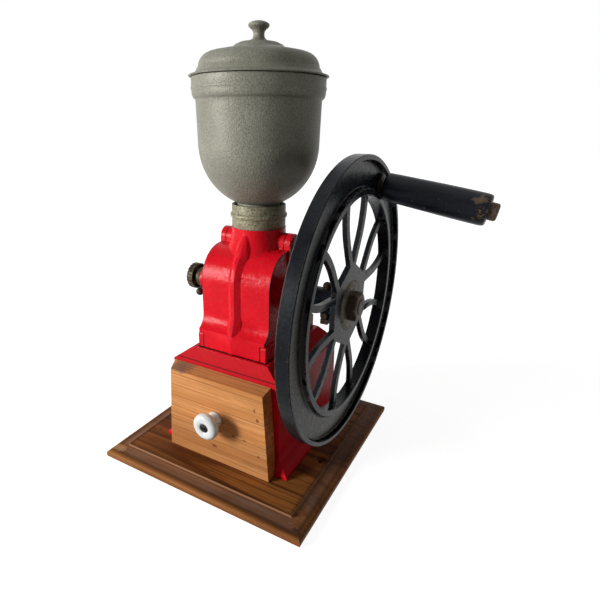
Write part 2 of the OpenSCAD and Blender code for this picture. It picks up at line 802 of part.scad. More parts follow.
module adjusting_knob() {
    color("#6d6653") on_shaft() difference() {
        bar_x(cup_d, cup_x, cup_x + cup_t);
        bar_x(cup_d - 4, cup_x + 2, far);
        bar_x(adjust_d + 2 * seat_fit, -far, far);
        for (i = [0:cup_notches - 1]) rotate([i * 360 / cup_notches, 0, 0])
            translate([0, 0, cup_d / 2 + 0.4]) bar_x(2, -far, far);
    }
}

module lock_nut() {
    color("#6d6653") on_shaft() difference() {
        bar_x(lock_nut_d, lock_nut_x, lock_nut_x + lock_nut_t);
        bar_x(adjust_d + 2 * run_fit, -far, far);
        lever_place() translate([0, 0, 7]) cylinder(d = 3 + 2 * seat_fit, h = far);
    }
}

module lever_place() {
    translate([lock_nut_x + lock_nut_t / 2, 0, 0]) rotate([180 - lever_angle, 0, 0]) children();
}

module lock_lever() {
    color("#a39c8c") on_shaft() lever_place() {
        translate([0, 0, 7.5]) cylinder(d = 3, h = lever_r - 7.5);
        translate([0, 0, lever_r]) sphere(d = ball_d);
    }
}

// ---- flywheel ----

// Curved band of one spoke in the wheel's plane; the pair's middle runs along +Y
module spoke_outline() {
    centre = [spoke_end_r, spoke_spread - spoke_bend_r];
    half = spoke_w / 2;
    side = half / cos(spoke_angle);
    polygon(concat(
        [[spoke_root_r - 4, max(0, spoke_root_off - 4 * tan(spoke_angle) + side)]],
        arc(centre, spoke_bend_r + half, 90 + spoke_angle, 90, 8),
        [[rim_in_r + 1.5, spoke_spread + half], [rim_in_r + 1.5, spoke_spread - half]],
        arc(centre, spoke_bend_r - half, 90, 90 + spoke_angle, 8),
        [[spoke_root_r + (side - spoke_root_off) / tan(spoke_angle), 0], [spoke_root_r - 4, 0]]));
}

module wheel_rim() {
    turned_x() polygon([
        [rim_in_r, wheel_back_x], [wheel_r - 1, wheel_back_x], [wheel_r, wheel_back_x + 1],
        [wheel_r, wheel_x - 0.7], [wheel_r - 0.7, wheel_x], [wheel_r - wheel_lip_w, wheel_x],
        [wheel_r - wheel_lip_w - 1.2, channel_x + 0.8], [wheel_r - wheel_lip_w - 1.9, channel_x],
        [ring_r + 1.6, channel_x], [ring_r + 0.7, channel_x + 0.7], [ring_r, rim_ring_x - 0.7],
        [ring_r - 0.7, rim_ring_x], [rim_in_r + 0.6, rim_ring_x], [rim_in_r, rim_ring_x - 0.6]]);
}

module handle_place() {
    translate([0, handle_y, handle_z]) children();
}

module flywheel() {
    color("#26292d") difference() {
        union() {
            on_shaft() {
                wheel_rim();
                along_x(hub_back_x, hub_front_x) rotate(30) circle(d = hub_af / cos(30), $fn = 6);
                bar_x(barrel_d, barrel_x, hub_front_x);
                translate([hub_back_x - 6, 0, 0]) rotate([0, 90, 0])
                    cylinder(d1 = barrel_d, d2 = barrel_d + 12, h = 6 + eps);
                for (i = [0:spoke_pairs - 1], flip = [-1, 1]) rotate([30 + i * 360 / spoke_pairs, 0, 0])
                    along_x(spoke_front_x - spoke_t, spoke_front_x) scale([1, flip]) spoke_outline();
            }
            handle_place() bar_x(handle_boss_d, wheel_back_x, handle_boss_x);
        }
        on_shaft() {
            bar_x(shaft_d + 2 * seat_fit, -far, far);
            bar_x(washer_d + 0.6, washer_x, hub_front_x + 1);
            translate([set_screw_x, 0, -far / 2]) cylinder(d = set_screw_d + 2 * seat_fit, h = far / 2);
            translate([set_screw_x, 0, 0]) cylinder(d = set_screw_d + 2 * seat_fit, h = wheel_r / 2);
        }
        handle_place() {
            bar_x(spindle_foot_d + 2 * seat_fit, 0, far);
            bar_x(grip_d1 - 4 + 2 * move_gap, handle_boss_x, far);
        }
    }
}

module hub_washer() {
    color("#8d7b45") on_shaft() turned_x() polygon([
        [shaft_d / 2 + seat_fit, washer_x + 0.8], [washer_d / 2 - 7, washer_x + 0.8],
        [washer_d / 2 - 4, washer_x], [washer_d / 2, washer_x], [washer_d / 2, washer_x + 0.8],
        [washer_d / 2 - 3, washer_x + washer_t + 0.4], [washer_d / 2 - 7, washer_x + washer_t],
        [shaft_d / 2 + seat_fit, washer_x + washer_t]]);
}

module hub_nut() {
    color("#a08c70") on_shaft() difference() {
        intersection() {
            hex_x(nut_af, nut_x, nut_x + nut_t);
            turned_x() polygon([[0, nut_x], [nut_af * 0.58, nut_x], [nut_af * 0.58, nut_x + nut_t - 1.4],
                                [nut_af * 0.47, nut_x + nut_t], [0, nut_x + nut_t]]);
        }
        bar_x(shaft_d + 2 * seat_fit, -far, far);
    }
}

module hub_set_screw() {
    color("#3b3e42") on_shaft() translate([set_screw_x, 0, shaft_d / 2 + seat_fit]) {
        cylinder(d = set_screw_d, h = barrel_d / 2 - shaft_d / 2 + 1.5);
        translate([0, 0, barrel_d / 2 - shaft_d / 2 + 0.3]) cylinder(d = set_screw_d + 2, h = 2);
        translate([0, 0, barrel_d / 2 - shaft_d / 2 + 2.2]) intersection() {
            sphere(d = set_screw_d + 2);
            cylinder(d = set_screw_d + 2, h = set_screw_d);
        }
    }
}

module clamp_lock_nut() {
    color("#9a9186") on_shaft() translate([set_screw_x, 0, -barrel_d / 2 - 0.2]) mirror([0, 0, 1]) difference() {
        cylinder(d = 10 / cos(30), h = 4.6, $fn = 6);
        translate([0, 0, -1]) cylinder(d = set_screw_d + 2 * seat_fit, h = 7);
    }
}

module hub_clamp_screw() {
    color("#8e8070") on_shaft() translate([set_screw_x, 0, -shaft_d / 2 - seat_fit]) mirror([0, 0, 1]) {
        shank_l = barrel_d / 2 - shaft_d / 2 + 6;
        cylinder(d = set_screw_d, h = shank_l);
        translate([0, 0, shank_l - eps]) rotate(45) cylinder(d = 7.4 * sqrt(2), h = 5, $fn = 4);
    }
}

// ---- handle ----

// Frame of the leaning handle: its axis runs along +X from the knee
module leaning() {
    translate([handle_boss_x + handle_washer_t, handle_y, handle_z]) rotate([0, handle_lean, 0]) children();
}

module handle_spindle() {
    color("#7a5a3c") {
        handle_place() bar_x(spindle_foot_d, wheel_back_x - spindle_nut_t - 2,
                             handle_boss_x + handle_washer_t + 0.2);
        leaning() {
            bar_x(spindle_d, -2.6, grip_end + move_gap + eps);
            turned_x() polygon([
                [0, grip_end + move_gap], [spindle_head_d / 2, grip_end + move_gap],
                [spindle_head_d / 2, grip_end + spindle_head_l - 1.6],
                [spindle_head_d / 2 - 0.6, grip_end + spindle_head_l - 0.5],
                [spindle_head_d / 2 - 1.8, grip_end + spindle_head_l], [0, grip_end + spindle_head_l]]);
        }
    }
}

module spindle_nut() {
    color("#4a4540") handle_place() difference() {
        hex_x(17, wheel_back_x - spindle_nut_t, wheel_back_x);
        bar_x(spindle_foot_d + 2 * seat_fit, 0, far);
    }
}

module handle_washer() {
    color("#56524c") handle_place() difference() {
        bar_x(grip_d1 - 4, handle_boss_x, handle_boss_x + handle_washer_t);
        bar_x(spindle_foot_d + 2 * seat_fit, 0, far);
    }
}

module handle_grip() {
    color("#1f2024") leaning() difference() {
        turned_x() polygon(concat(
            [[0, grip_start], [grip_d1 / 2 - 1.2, grip_start], [grip_d1 / 2, grip_start + 1.4]],
            [[(grip_d1 + grip_d2) / 4 + 0.5, (grip_start + grip_end) / 2]],
            [[grip_d2 / 2, grip_end - 3], [grip_d2 / 2 - 1.4, grip_end], [0, grip_end]]));
        bar_x(spindle_d + 2 * run_fit, -far, far);
    }
}

// ---- hopper ----

module hopper_collar() {
    color("#8f8d72") translate([0, 0, neck_z]) rotate_extrude() polygon([
        [throat_d / 2, 0], [collar_d / 2, 0], [collar_d / 2, collar_bead_h - 2.4],
        [collar_d / 2 + 1.4, collar_bead_h - 1.2], [collar_d / 2 + 1.4, collar_bead_h + 1.2],
        [collar_d / 2, collar_bead_h + 2.4], [collar_d / 2, collar_h - 0.6], [collar_d / 2 - 0.6, collar_h],
        [collar_mouth_d / 2, collar_h], [collar_mouth_d / 2, collar_h - collar_mouth_h],
        [spout_r + seat_fit, collar_h - collar_mouth_h - 1.5], [spout_r + seat_fit, collar_floor],
        [throat_d / 2, collar_floor]]);
}

module hopper_bowl() {
    spout_z = neck_z + collar_floor + eps;
    color("#8b8b7c") rotate_extrude() polygon(concat(
        [[spout_r - sheet_t, spout_z], [spout_r, spout_z]],
        bowl_curve(bowl_r, bowl_round_h, bowl_round_z, spout_r),
        [[bowl_r, rim_z - band_h], [bowl_r + 0.8, rim_z - band_h + 0.2],
         [band_r - 0.6, rim_z - band_h + 2.2], [band_r, rim_z - band_h + 4.4], [band_r, rim_z - 9.6],
         [band_r + 0.5, rim_z - 8.6], [band_r, rim_z - 7.6], [band_r, rim_z - 0.8], [band_r - 0.8, rim_z],
         [bowl_r - sheet_t, rim_z]],
        inner_bowl()));
}

// Inner face of the bowl from the rim down to the spout
function inner_bowl() =
    let (p = bowl_curve(bowl_r - sheet_t, bowl_round_h - sheet_t, bowl_round_z, spout_r - sheet_t))
    [for (i = [len(p) - 1:-1:0]) p[i]];

// Outer outline of the lid from its rim to the flat of the crown, drawn in by d
function lid_shell(d) =
    let (z = lid_z + sheet_t)
    concat(
        arc([lid_r - 0.5, z + 7], 7 + d, 268, 200, 5),
        arc([lid_r - 24.7, z + dome_h - 19.3], 17.4 - d, 30, 80, 7),
        [[lid_r - 38.3, z + dome_h - d], [lid_r - 40.9, z + dome_h + 2.2 - d],
         [lid_r - 43.4, lid_top_z - d], [0, lid_top_z - d]]);

module hopper_lid() {
    inside = lid_shell(sheet_t);
    color("#8b8b7c") difference() {
        rotate_extrude() union() {
            polygon(concat([[lid_r - 1, lid_z], [lid_r, lid_z + 0.3], [lid_r, lid_z + sheet_t - 0.2]], lid_shell(0),
                [for (i = [len(inside) - 1:-1:2]) inside[i]], [[lid_skirt_r - sheet_t, lid_z]]));
            translate([lid_skirt_r - sheet_t, lid_z - lid_skirt_h]) square([sheet_t, lid_skirt_h + 1]);
        }
        translate([0, 0, lid_top_z - 5]) cylinder(d = 4.1, h = 10);
    }
}

module lid_knob() {
    r = lid_knob_d / 2;
    h = lid_knob_h;
    color("#8b8b7c") rotate_extrude() polygon([
        [0, lid_top_z - 6], [2, lid_top_z - 6], [2, lid_top_z], [r, lid_top_z], [r, lid_top_z + 1.4],
        [r - 1.8, lid_top_z + 2.6], [r - 3.6, lid_top_z + 4.6], [r - 4.1, lid_top_z + h * 0.42],
        [r - 3.7, lid_top_z + h * 0.56], [r - 1.9, lid_top_z + h * 0.68], [r - 0.2, lid_top_z + h * 0.76],
        [r - 0.2, lid_top_z + h * 0.83], [r - 1.6, lid_top_z + h * 0.89], [r - 4.6, lid_top_z + h * 0.97],
        [0, lid_top_z + h]]);
}

module lid_knob_nut() {
    color("#77705f") translate([0, 0, lid_top_z - sheet_t - 3]) difference() {
        cylinder(d = 7 / cos(30), h = 3 - eps, $fn = 6);
        translate([0, 0, -1]) cylinder(d = 4.1, h = 6);
    }
}

// ---- drawer ----

module drawer_front() {
    top = front_top_w / 2;
    bottom = front_bottom_w / 2;
    color("#b98552") difference() {
        hull() {
            along_y(front_face_y, front_face_y + eps) translate([0, drawer_z])
                polygon([[-bottom, 0], [bottom, 0], [top, front_h - front_slope], [-top, front_h - front_slope]]);
            along_y(front_back_y - eps, front_back_y) translate([0, drawer_z])
                polygon([[-bottom, 0], [bottom, 0], [top, front_h], [-top - front_splay, front_h]]);
        }
        translate([-drawer_w / 2 + 4, front_back_y - groove_t, drawer_floor_z])
            cube([drawer_w - 8, far, drawer_bottom_t + 2 * seat_fit]);
        translate([0, far / 2, knob_z]) rotate([90, 0, 0]) cylinder(d = knob_screw_d + 2 * seat_fit, h = far);
    }
}

// A side of the drawer box, given the x of its outer face
module drawer_side(side) {
    color("#a9764a") difference() {
        scale([side, 1, 1]) translate([drawer_w / 2 - drawer_side_t, front_back_y, drawer_z])
            cube([drawer_side_t, drawer_back_y - front_back_y, drawer_h]);
        translate([-drawer_w / 2 + 4, -far / 2, drawer_floor_z])
            cube([drawer_w - 8, far, drawer_bottom_t + 2 * seat_fit]);
    }
}

module drawer_left_side() {
    drawer_side(-1);
}

module drawer_right_side() {
    drawer_side(1);
}

module drawer_back() {
    inner = drawer_w - 2 * drawer_side_t;
    color("#a9764a") translate([-inner / 2, drawer_back_y - drawer_side_t, drawer_floor_z + drawer_bottom_t + 0.2])
        cube([inner, drawer_side_t, drawer_h - 3 - drawer_bottom_t - 0.2]);
}

module drawer_bottom() {
    color("#8f6238") translate([-drawer_w / 2 + 4.2, front_back_y - groove_t + 0.2, drawer_floor_z + seat_fit])
        cube([drawer_w - 8.4, drawer_back_y - front_back_y + groove_t - 0.2, drawer_bottom_t]);
}

module knob_place() {
    translate([0, front_face_y, knob_z]) rotate([90, 0, 0]) children();
}

module porcelain_knob() {
    r = knob_d / 2;
    color("#f4f4f0") knob_place() difference() {
        rotate_extrude() polygon([
            [0, 0], [7.5, 0], [7.9, 1.4], [7.2, 3], [5.6, 4.6], [5.2, 6.4], [6.2, 8.4], [r - 2.6, 10.4],
            [r - 0.6, 12], [r, 14], [r - 0.2, knob_l - 3.6], [r - 1.2, knob_l - 1.4], [r - 3.2, knob_l - 0.2],
            [r - 5, knob_l], [4.6, knob_l - 0.5], [0, knob_l - 0.5]]);
        translate([0, 0, -1]) cylinder(d = knob_screw_d + 2 * seat_fit, h = far);
        translate([0, 0, knob_l - 3]) cylinder(d = 8.8, h = 10);
    }
}

module knob_screw() {
    color("#2b2724") knob_place() difference() {
        union() {
            translate([0, 0, -front_t - 6]) cylinder(d = knob_screw_d, h = front_t + 6 + knob_l - 2);
            translate([0, 0, knob_l - 3 + seat_fit]) cylinder(d = 8.5, h = 1.6);
            translate([0, 0, knob_l - 1.4]) cylinder(d1 = 8.5, d2 = 5.6, h = 1.2);
        }
        translate([-5, -0.6, knob_l - 1.4]) cube([10, 1.2, 4]);
    }
}

module knob_nut() {
    color("#555048") knob_place() translate([0, 0, -front_t - 3.2]) difference() {
        cylinder(d = 8 / cos(30), h = 3.2 - seat_fit, $fn = 6);
        translate([0, 0, -1]) cylinder(d = knob_screw_d + 2 * seat_fit, h = 6);
    }
}

base_board();
board_screws();
base_casting();
head_bolts();
head_casting();
left_side_plate();
right_side_plate();
plate_screws();
left_bush();
right_bush();
main_shaft();
feed_auger();
fixed_burr();
fixed_burr_screws();
rotating_burr();
burr_pin();
adjusting_screw();
adjusting_knob();
lock_nut();
lock_lever();
flywheel();
hub_washer();
hub_nut();
hub_set_screw();
hub_clamp_screw();
clamp_lock_nut();
handle_spindle();
spindle_nut();
handle_washer();
handle_grip();
hopper_collar();
hopper_bowl();
hopper_lid();
lid_knob();
lid_knob_nut();
drawer_front();
drawer_left_side();
drawer_right_side();
drawer_back();
drawer_bottom();
porcelain_knob();
knob_screw();
knob_nut();
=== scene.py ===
# %% [markdown]
# # Dressing a flywheel coffee mill
# The mill's shapes come from its CAD model, in metres, with each piece in its place. This lesson
# gives the pieces their looks: cast iron under glossy paint, spun metal, worn wood and glazed
# porcelain. A CAD model has razor edges and no surface, and a real casting has neither, so most
# cells round an edge or build a finish.

# %% Load the mill
import json
from math import acos, cos, pi, radians, sin
import bmesh
import bpy
from mathutils import Matrix, Vector


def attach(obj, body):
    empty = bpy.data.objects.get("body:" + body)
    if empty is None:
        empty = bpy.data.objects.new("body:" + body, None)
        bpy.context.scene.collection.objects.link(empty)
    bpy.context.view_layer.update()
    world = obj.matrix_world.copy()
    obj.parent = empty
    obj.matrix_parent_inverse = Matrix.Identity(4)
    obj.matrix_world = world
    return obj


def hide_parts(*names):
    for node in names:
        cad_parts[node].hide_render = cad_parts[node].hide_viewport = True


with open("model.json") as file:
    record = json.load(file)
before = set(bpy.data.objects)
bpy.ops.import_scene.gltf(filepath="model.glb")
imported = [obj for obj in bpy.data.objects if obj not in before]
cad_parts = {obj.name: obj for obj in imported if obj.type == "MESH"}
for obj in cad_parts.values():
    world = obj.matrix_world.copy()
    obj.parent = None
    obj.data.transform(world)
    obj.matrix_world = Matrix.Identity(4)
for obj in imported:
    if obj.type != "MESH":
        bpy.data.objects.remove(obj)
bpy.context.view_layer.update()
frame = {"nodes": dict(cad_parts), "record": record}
record = frame["record"]
body_of_node = {n: b for b, nodes in record["behaviour"]["bodies"].items() for n in nodes}
mm = 0.001

# %% [markdown]
# ## The camera
# A camera is a place, a direction and a lens. This one stands to the right of the drawer, a little
# below the hopper's rim, and looks down by 22.6 degrees. Its three axes are worked out from the
# yaw, pitch and roll, because a matrix made of them can't be read in the wrong order, as Euler
# angles can.

# %% Turn the camera
yaw, pitch, roll = 0.527065, 0.394859, 0.006845
ahead = Vector((-sin(yaw) * cos(pitch), cos(yaw) * cos(pitch), -sin(pitch)))
level = Vector((cos(yaw), sin(yaw), 0))
above = level.cross(ahead)
right = level * cos(roll) + above * sin(roll)
upright = above * cos(roll) - level * sin(roll)
turned = Matrix((right, upright, -ahead)).transposed().to_4x4()
print("looking along:", tuple(round(part, 3) for part in ahead))

# %% Place the camera
eye = Vector((0.22905, -0.3784, 0.32201))
lens = bpy.data.cameras.new("camera")
lens.sensor_width = 36
lens.lens = 27.61
lens.shift_x, lens.shift_y = 0.0564, 0.0327
lens.clip_start, lens.clip_end = 0.01, 50
camera = bpy.data.objects.new("camera", lens)
bpy.context.collection.objects.link(camera)
camera.matrix_world = Matrix.Translation(eye) @ turned
bpy.context.scene.camera = camera
print("camera:", tuple(round(part, 3) for part in eye), "lens:", lens.lens)

# %% [markdown]
# ## Shader nodes in one line
# A finish is a graph of nodes. Built with the bare API, each node takes several lines for its kind,
# its settings and its wires. Four small helpers make that one line: a new material, a new node with
# its settings by name, a join that takes another node's output or a plain value, and a step of
# arithmetic.


# %% Helpers for shader nodes
def new_finish(name):
    """Returns a new material, its node tree and its main shader."""
    made = bpy.data.materials.new(name)
    made.use_nodes = True
    return made, made.node_tree, made.node_tree.nodes["Principled BSDF"]


def add(tree, kind, **settings):
    """Adds a node. Inputs are set by name, other settings as attributes."""
    node = tree.nodes.new("ShaderNode" + kind)
    for key, value in settings.items():
        label = key.replace("_", " ")
        if label in node.inputs:
            node.inputs[label].default_value = value
        else:
            setattr(node, key, value)
    return node


def join(tree, source, target):
    """Wires an output to an input, or types a number or a colour into it."""
    if isinstance(source, bpy.types.NodeSocket):
        tree.links.new(source, target)
    else:
        target.default_value = (*source, 1) if isinstance(source, tuple) else source


def maths(tree, way, *values, clamp=False):
    """Applies a Math operation to one value, or folds it over several."""
    total, *others = values
    for other in others or (0,):
        node = add(tree, "Math", operation=way)
        join(tree, total, node.inputs[0])
        join(tree, other, node.inputs[1])
        total = node.outputs[0]
    node.use_clamp = clamp
    return total


# %% [markdown]
# ## The floor
# The floor is a wide pale plane just under the board. It could be a curved backdrop, but a plane is
# enough when it shines as white as the world behind it. It shines only where the camera or a
# reflection sees it, so it adds no light to the mill, and a little less near the mill, so the soft
# shadow under the board still shows.


# %% Tell the rays apart
def seen_rays(tree):
    """1 where the camera, a reflection or a glass sees the surface."""
    path = add(tree, "LightPath")
    kinds = ("Is Camera Ray", "Is Glossy Ray", "Is Transmission Ray")
    return maths(tree, "MAXIMUM", *(path.outputs[kind] for kind in kinds))


# %% Build the floor
floor_half, floor_drop = 6, 0.0003
form = bmesh.new()
bmesh.ops.create_grid(form, x_segments=2, y_segments=2, size=floor_half)
bmesh.ops.translate(form, verts=form.verts, vec=(0, 0, -floor_drop))
plane = bpy.data.meshes.new("floor")
form.to_mesh(plane)
form.free()
floor = bpy.data.objects.new("floor", plane)
bpy.context.collection.objects.link(floor)
print("floor:", 2 * floor_half, "m wide")

# %% Colour the floor
paper, tree, shader = new_finish("floor_paper")
join(tree, (0.42, 0.42, 0.42), shader.inputs["Base Color"])
join(tree, (1.0, 1.0, 1.0), shader.inputs["Emission Color"])
join(tree, 0.9, shader.inputs["Roughness"])
gap = add(tree, "VectorMath", operation="LENGTH")
join(tree, add(tree, "TexCoord").outputs["Object"], gap.inputs[0])
fade = add(tree, "MapRange", From_Min=0.4, From_Max=1.2, To_Min=0.9, To_Max=1.0)
join(tree, gap.outputs["Value"], fade.inputs["Value"])
glow = maths(tree, "MULTIPLY", seen_rays(tree), fade.outputs["Result"])
join(tree, glow, shader.inputs["Emission Strength"])
plane.materials.append(paper)
print("floor finish:", len(tree.nodes), "nodes")

# %% [markdown]
# ## World and lamps
# The mill is lit by soft area lamps: a tall window at the left front, a weak one at the right and a
# sheet of light overhead. Broad lamps draw the long soft highlights that show gloss, where a sun or
# a point lamp would leave hard dots. The world is white to the camera and to reflections, and very
# dim as light, so the sides away from the window stay deep.

# %% Make the world
world_light = 0.075
world = bpy.data.worlds.new("studio")
world.use_nodes = True
bpy.context.scene.world = world
tree = world.node_tree
sky = tree.nodes["Background"]
join(tree, (1.0, 1.0, 1.0), sky.inputs["Color"])
strength = add(tree, "MapRange", To_Min=world_light, To_Max=1.0)
join(tree, seen_rays(tree), strength.inputs["Value"])
join(tree, strength.outputs["Result"], sky.inputs["Strength"])
print("world as light:", world_light)


# %% Hang the lamps
def lamp(name, place, aim, size, power):
    """Hangs a rectangular lamp at a place, turned to face another."""
    light = bpy.data.lights.new(name, "AREA")
    light.shape = "RECTANGLE"
    light.size, light.size_y = size
    light.energy = power
    held = bpy.data.objects.new(name, light)
    bpy.context.collection.objects.link(held)
    place = Vector(place)
    facing = (Vector(aim) - place).to_track_quat("-Z", "Y").to_matrix().to_4x4()
    held.matrix_world = Matrix.Translation(place) @ facing
    print(name + ":", power, "W")


lamp("window_left", (-1.02, -1.24, 0.54), (0, 0, 0.22), (0.45, 0.72), 34)
lamp("window_right", (1.4, 0.5, 0.7), (0, 0, 0.25), (0.3, 1.0), 0.3)
lamp("overhead", (-0.1, -0.1, 1.5), (0, 0, 0.2), (1.0, 1.0), 1.7)

# %% [markdown]
# ## Rounded castings
# Foundry sand can't hold a sharp edge, and a thick coat of paint rounds it again. Moving a vertex by
# hand for each edge would take a day. Instead the CAD mesh is copied, its loose triangles are merged
# back into flat faces, and a Bevel modifier rounds every edge that turns by more than a limit. The
# copy replaces its node, which stays underneath for collision. The flywheel's channel has shallow
# edges between broad faces, so its limit is lower. Smooth shading across them would draw spikes.


# %% Put a piece in its node's place
def put(name, form, node, smooth=40):
    """Makes a bmesh into the piece that replaces a node and rides on its body."""
    mesh = bpy.data.meshes.new(name)
    form.to_mesh(mesh)
    form.free()
    mesh.shade_smooth()
    mesh.set_sharp_from_angle(angle=radians(smooth))
    piece = bpy.data.objects.new(name, mesh)
    bpy.context.collection.objects.link(piece)
    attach(piece, body_of_node[node])
    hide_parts(node)
    return piece


# %% Round the edges of a piece
weld_gap, flat_turn, bevel_steps = 2e-5, radians(0.8), 2


def rounded(node, radius, turn=28):
    """Copies a CAD node and rounds each edge that turns by more than some degrees."""
    form = bmesh.new()
    form.from_mesh(frame["nodes"][node].data)
    bmesh.ops.remove_doubles(form, verts=form.verts, dist=weld_gap)
    bmesh.ops.dissolve_limit(form, angle_limit=flat_turn, verts=form.verts, edges=form.edges)
    piece = put(node + "_shaped", form, node, smooth=turn)
    edge = piece.modifiers.new("soft_edges", "BEVEL")
    edge.width = radius * mm
    edge.segments = bevel_steps
    edge.limit_method = "ANGLE"
    edge.angle_limit = radians(turn)
    edge.harden_normals = True
    return piece


# %% Cast, forged and sawn pieces
edge_radii = {
    "base_casting": 0.8, "head_casting": 0.9, "left_side_plate": 0.6, "right_side_plate": 0.6,
    "flywheel": 0.4, "plate_screws": 0.5, "lock_nut": 0.5, "adjusting_knob": 0.4,
    "hub_nut": 0.5, "hub_washer": 0.3, "clamp_lock_nut": 0.4, "hub_clamp_screw": 0.7,
    "spindle_nut": 0.5, "handle_spindle": 0.5, "drawer_front": 1.0, "base_board": 1.0,
    "drawer_left_side": 0.5, "drawer_right_side": 0.5, "drawer_back": 0.5,
    "main_shaft": 0.5, "adjusting_screw": 0.5, "knob_screw": 0.2}
shaped = {node: rounded(node, radius, turn=18 if node == "flywheel" else 28)
          for node, radius in edge_radii.items()}
print("rounded:", len(shaped))

# %% [markdown]
# ## Spun metal
# The hopper, its lid and its collar were spun or turned on a lathe, so one outline makes each. A
# Screw modifier could turn it, but a bmesh spin leaves a plain mesh with nothing to apply. The
# outline runs up the outer face and back down the inner one, which gives the sheet its real
# thickness. Two helpers draw round bends and the quarter ellipse of a belly, and a third lifts an
# outline to its height.


# %% Spin an outline
def spun(node, outline, steps=96, place=None):
    """Spins an outline of (radius, height) in millimetres round the upright axis."""
    form = bmesh.new()
    corners = [form.verts.new((r * mm, 0, z * mm)) for r, z in outline]
    chain = [form.edges.new(pair) for pair in zip(corners, corners[1:])]
    bmesh.ops.spin(form, geom=corners + chain, cent=(0, 0, 0), axis=(0, 0, 1),
                   angle=2 * pi, steps=steps, use_merge=True)
    bmesh.ops.remove_doubles(form, verts=form.verts, dist=1e-6)
    bmesh.ops.recalc_face_normals(form, faces=form.faces)
    if place is not None:
        bmesh.ops.transform(form, matrix=place, verts=form.verts)
    print(node + ":", len(form.faces), "faces")
    shaped[node] = put(node + "_shaped", form, node)


def bend(centre, radius, start, end, steps):
    """Points of a round bend in an outline, between two angles in degrees."""
    angles = [radians(start + (end - start) * i / steps) for i in range(steps + 1)]
    return [(centre[0] + radius * cos(a), centre[1] + radius * sin(a)) for a in angles]


def belly(width, depth, level, narrow, steps=30):
    """Points of a quarter ellipse from its narrow end up to its full width."""
    first = acos(narrow / width)
    angles = [first * (1 - i / steps) for i in range(steps + 1)]
    return [(width * cos(a), level - depth * sin(a)) for a in angles]


def raised(base, outline):
    """An outline whose heights are counted from a base height."""
    return [(r, base + z) for r, z in outline]


# %% [markdown]
# ## Hopper bowl
# The bowl is a half ball of sheet under a nearly upright wall, with a narrow spout below and a
# rolled band round its mouth. A sphere cut in half and stretched would need its band cut in
# afterwards, while in one outline the belly, the wall and the band's bead follow each other.

# %% Spin the bowl
rim, wall = 361.0, 1.2
belly_r, belly_h, belly_top = 54.1, 54.2, 307.8
spout_r, spout_end = 20, 238.4
side = [(54.3, 322), (54.6, 340)]
band = [(54.7, 343.6), (55.2, 344.3), (56.2, 344.9), (57.1, 346.4), (57.6, 348.2), (57.7, 349.6),
        (57.7, 351), (58.1, 351.8), (58.25, 352.6), (58.1, 353.4), (57.7, 354.2), (57.7, 359.6)]
lip = bend((56.9, rim - 0.8), 0.8, 0, 90, 4) + bend((53.8, rim - 0.5), 0.5, 90, 180, 3)
outer = [(spout_r, spout_end)] + belly(belly_r, belly_h, belly_top, spout_r) + side + band + lip
inner = belly(belly_r - wall, belly_h - wall, belly_top, spout_r - wall)
spun("hopper_bowl", outer + inner[::-1] + [(spout_r - wall, spout_end), (spout_r, spout_end)])

# %% [markdown]
# ## Hopper lid
# The lid is one sheet: a brim that sweeps up to a round shoulder, a hollow flare and a small raised
# crown, with a skirt inside that keeps it on the bowl. The same bends drawn in by the wall's
# thickness give the inner face, so the sheet stays even from the crown to the brim.

# %% Spin the lid
seat = rim + 0.3
sheet_top = seat + wall
brim_r, skirt_r, skirt_h, dome_h = 59.7, 51.5, 8, 24.7


def dome(inset):
    """The lid's upper outline from the brim to the crown, drawn in by some millimetres."""
    return (bend((brim_r - 0.5, sheet_top + 7), 7 + inset, 266, 200, 8)
            + bend((39.5, sheet_top + 5), 12 - inset, 4, 75, 12)
            + bend((27, sheet_top + 29), 9 + inset, 256, 222, 5)
            + bend((15.6, sheet_top + 20.9), 3.8 - inset, 40, 90, 5)
            + [(0.5, sheet_top + dome_h - inset)])


brim_edge = [(brim_r - 1, seat), (brim_r - 0.2, seat + 0.1), (brim_r, seat + 0.6),
             (brim_r - 0.2, sheet_top - 0.1)]
skirt = [(skirt_r, seat), (skirt_r, seat - skirt_h), (skirt_r + wall, seat - skirt_h),
         (skirt_r + wall, seat)]
spun("hopper_lid", brim_edge + dome(0) + dome(wall)[::-1][:-2] + skirt + brim_edge[:1])

# %% [markdown]
# ## Lid knob
# A little spool with a mushroom cap, turned from bar and held by a nut under the crown. Its outline
# is typed as points, because a turner cuts such a form by eye and it follows no regular curve. It
# takes half the steps of the bowl, being far smaller.

# %% Spin the lid knob
spun("lid_knob", raised(sheet_top + dome_h, [
    (0.3, -6), (2, -6), (2, 0), (8.0, 0), (8.5, 0.4), (8.5, 1.2), (7.8, 1.7), (6.6, 2.3),
    (5.3, 3.4), (4.7, 4.8), (4.6, 6.6), (5.0, 8.2), (6.2, 9.7), (7.9, 10.9), (8.7, 11.8),
    (8.9, 12.6), (8.7, 13.4), (7.9, 14.1), (6.2, 14.9), (4.2, 15.5), (2.2, 15.9), (0.3, 16.1)]),
    steps=48)

# %% [markdown]
# ## Hopper collar
# The collar is a turned ring that stands on the red neck and holds the spout. A bead runs round its
# middle, and its mouth is wider than the spout. The ledge low inside is what the bowl rests on. Its
# outline needs no bends: at this size, a few points round the bead are enough.

# %% Spin the collar
collar_foot, throat_r = 235.4, 17
spun("hopper_collar", raised(collar_foot, [
    (throat_r, 0), (25.2, 0), (25.5, 0.4), (25.5, 8.6), (26.0, 8.9), (26.7, 9.6), (26.95, 10.6),
    (26.95, 11.6), (26.7, 12.5), (26.0, 13.2), (25.5, 13.5), (25.5, 20.4), (25.1, 21.0),
    (24.4, 21.1), (23.8, 20.8), (23.5, 20.2), (23.5, 15.1), (20.1, 13.6), (20.1, 3),
    (throat_r, 3), (throat_r, 0)]))

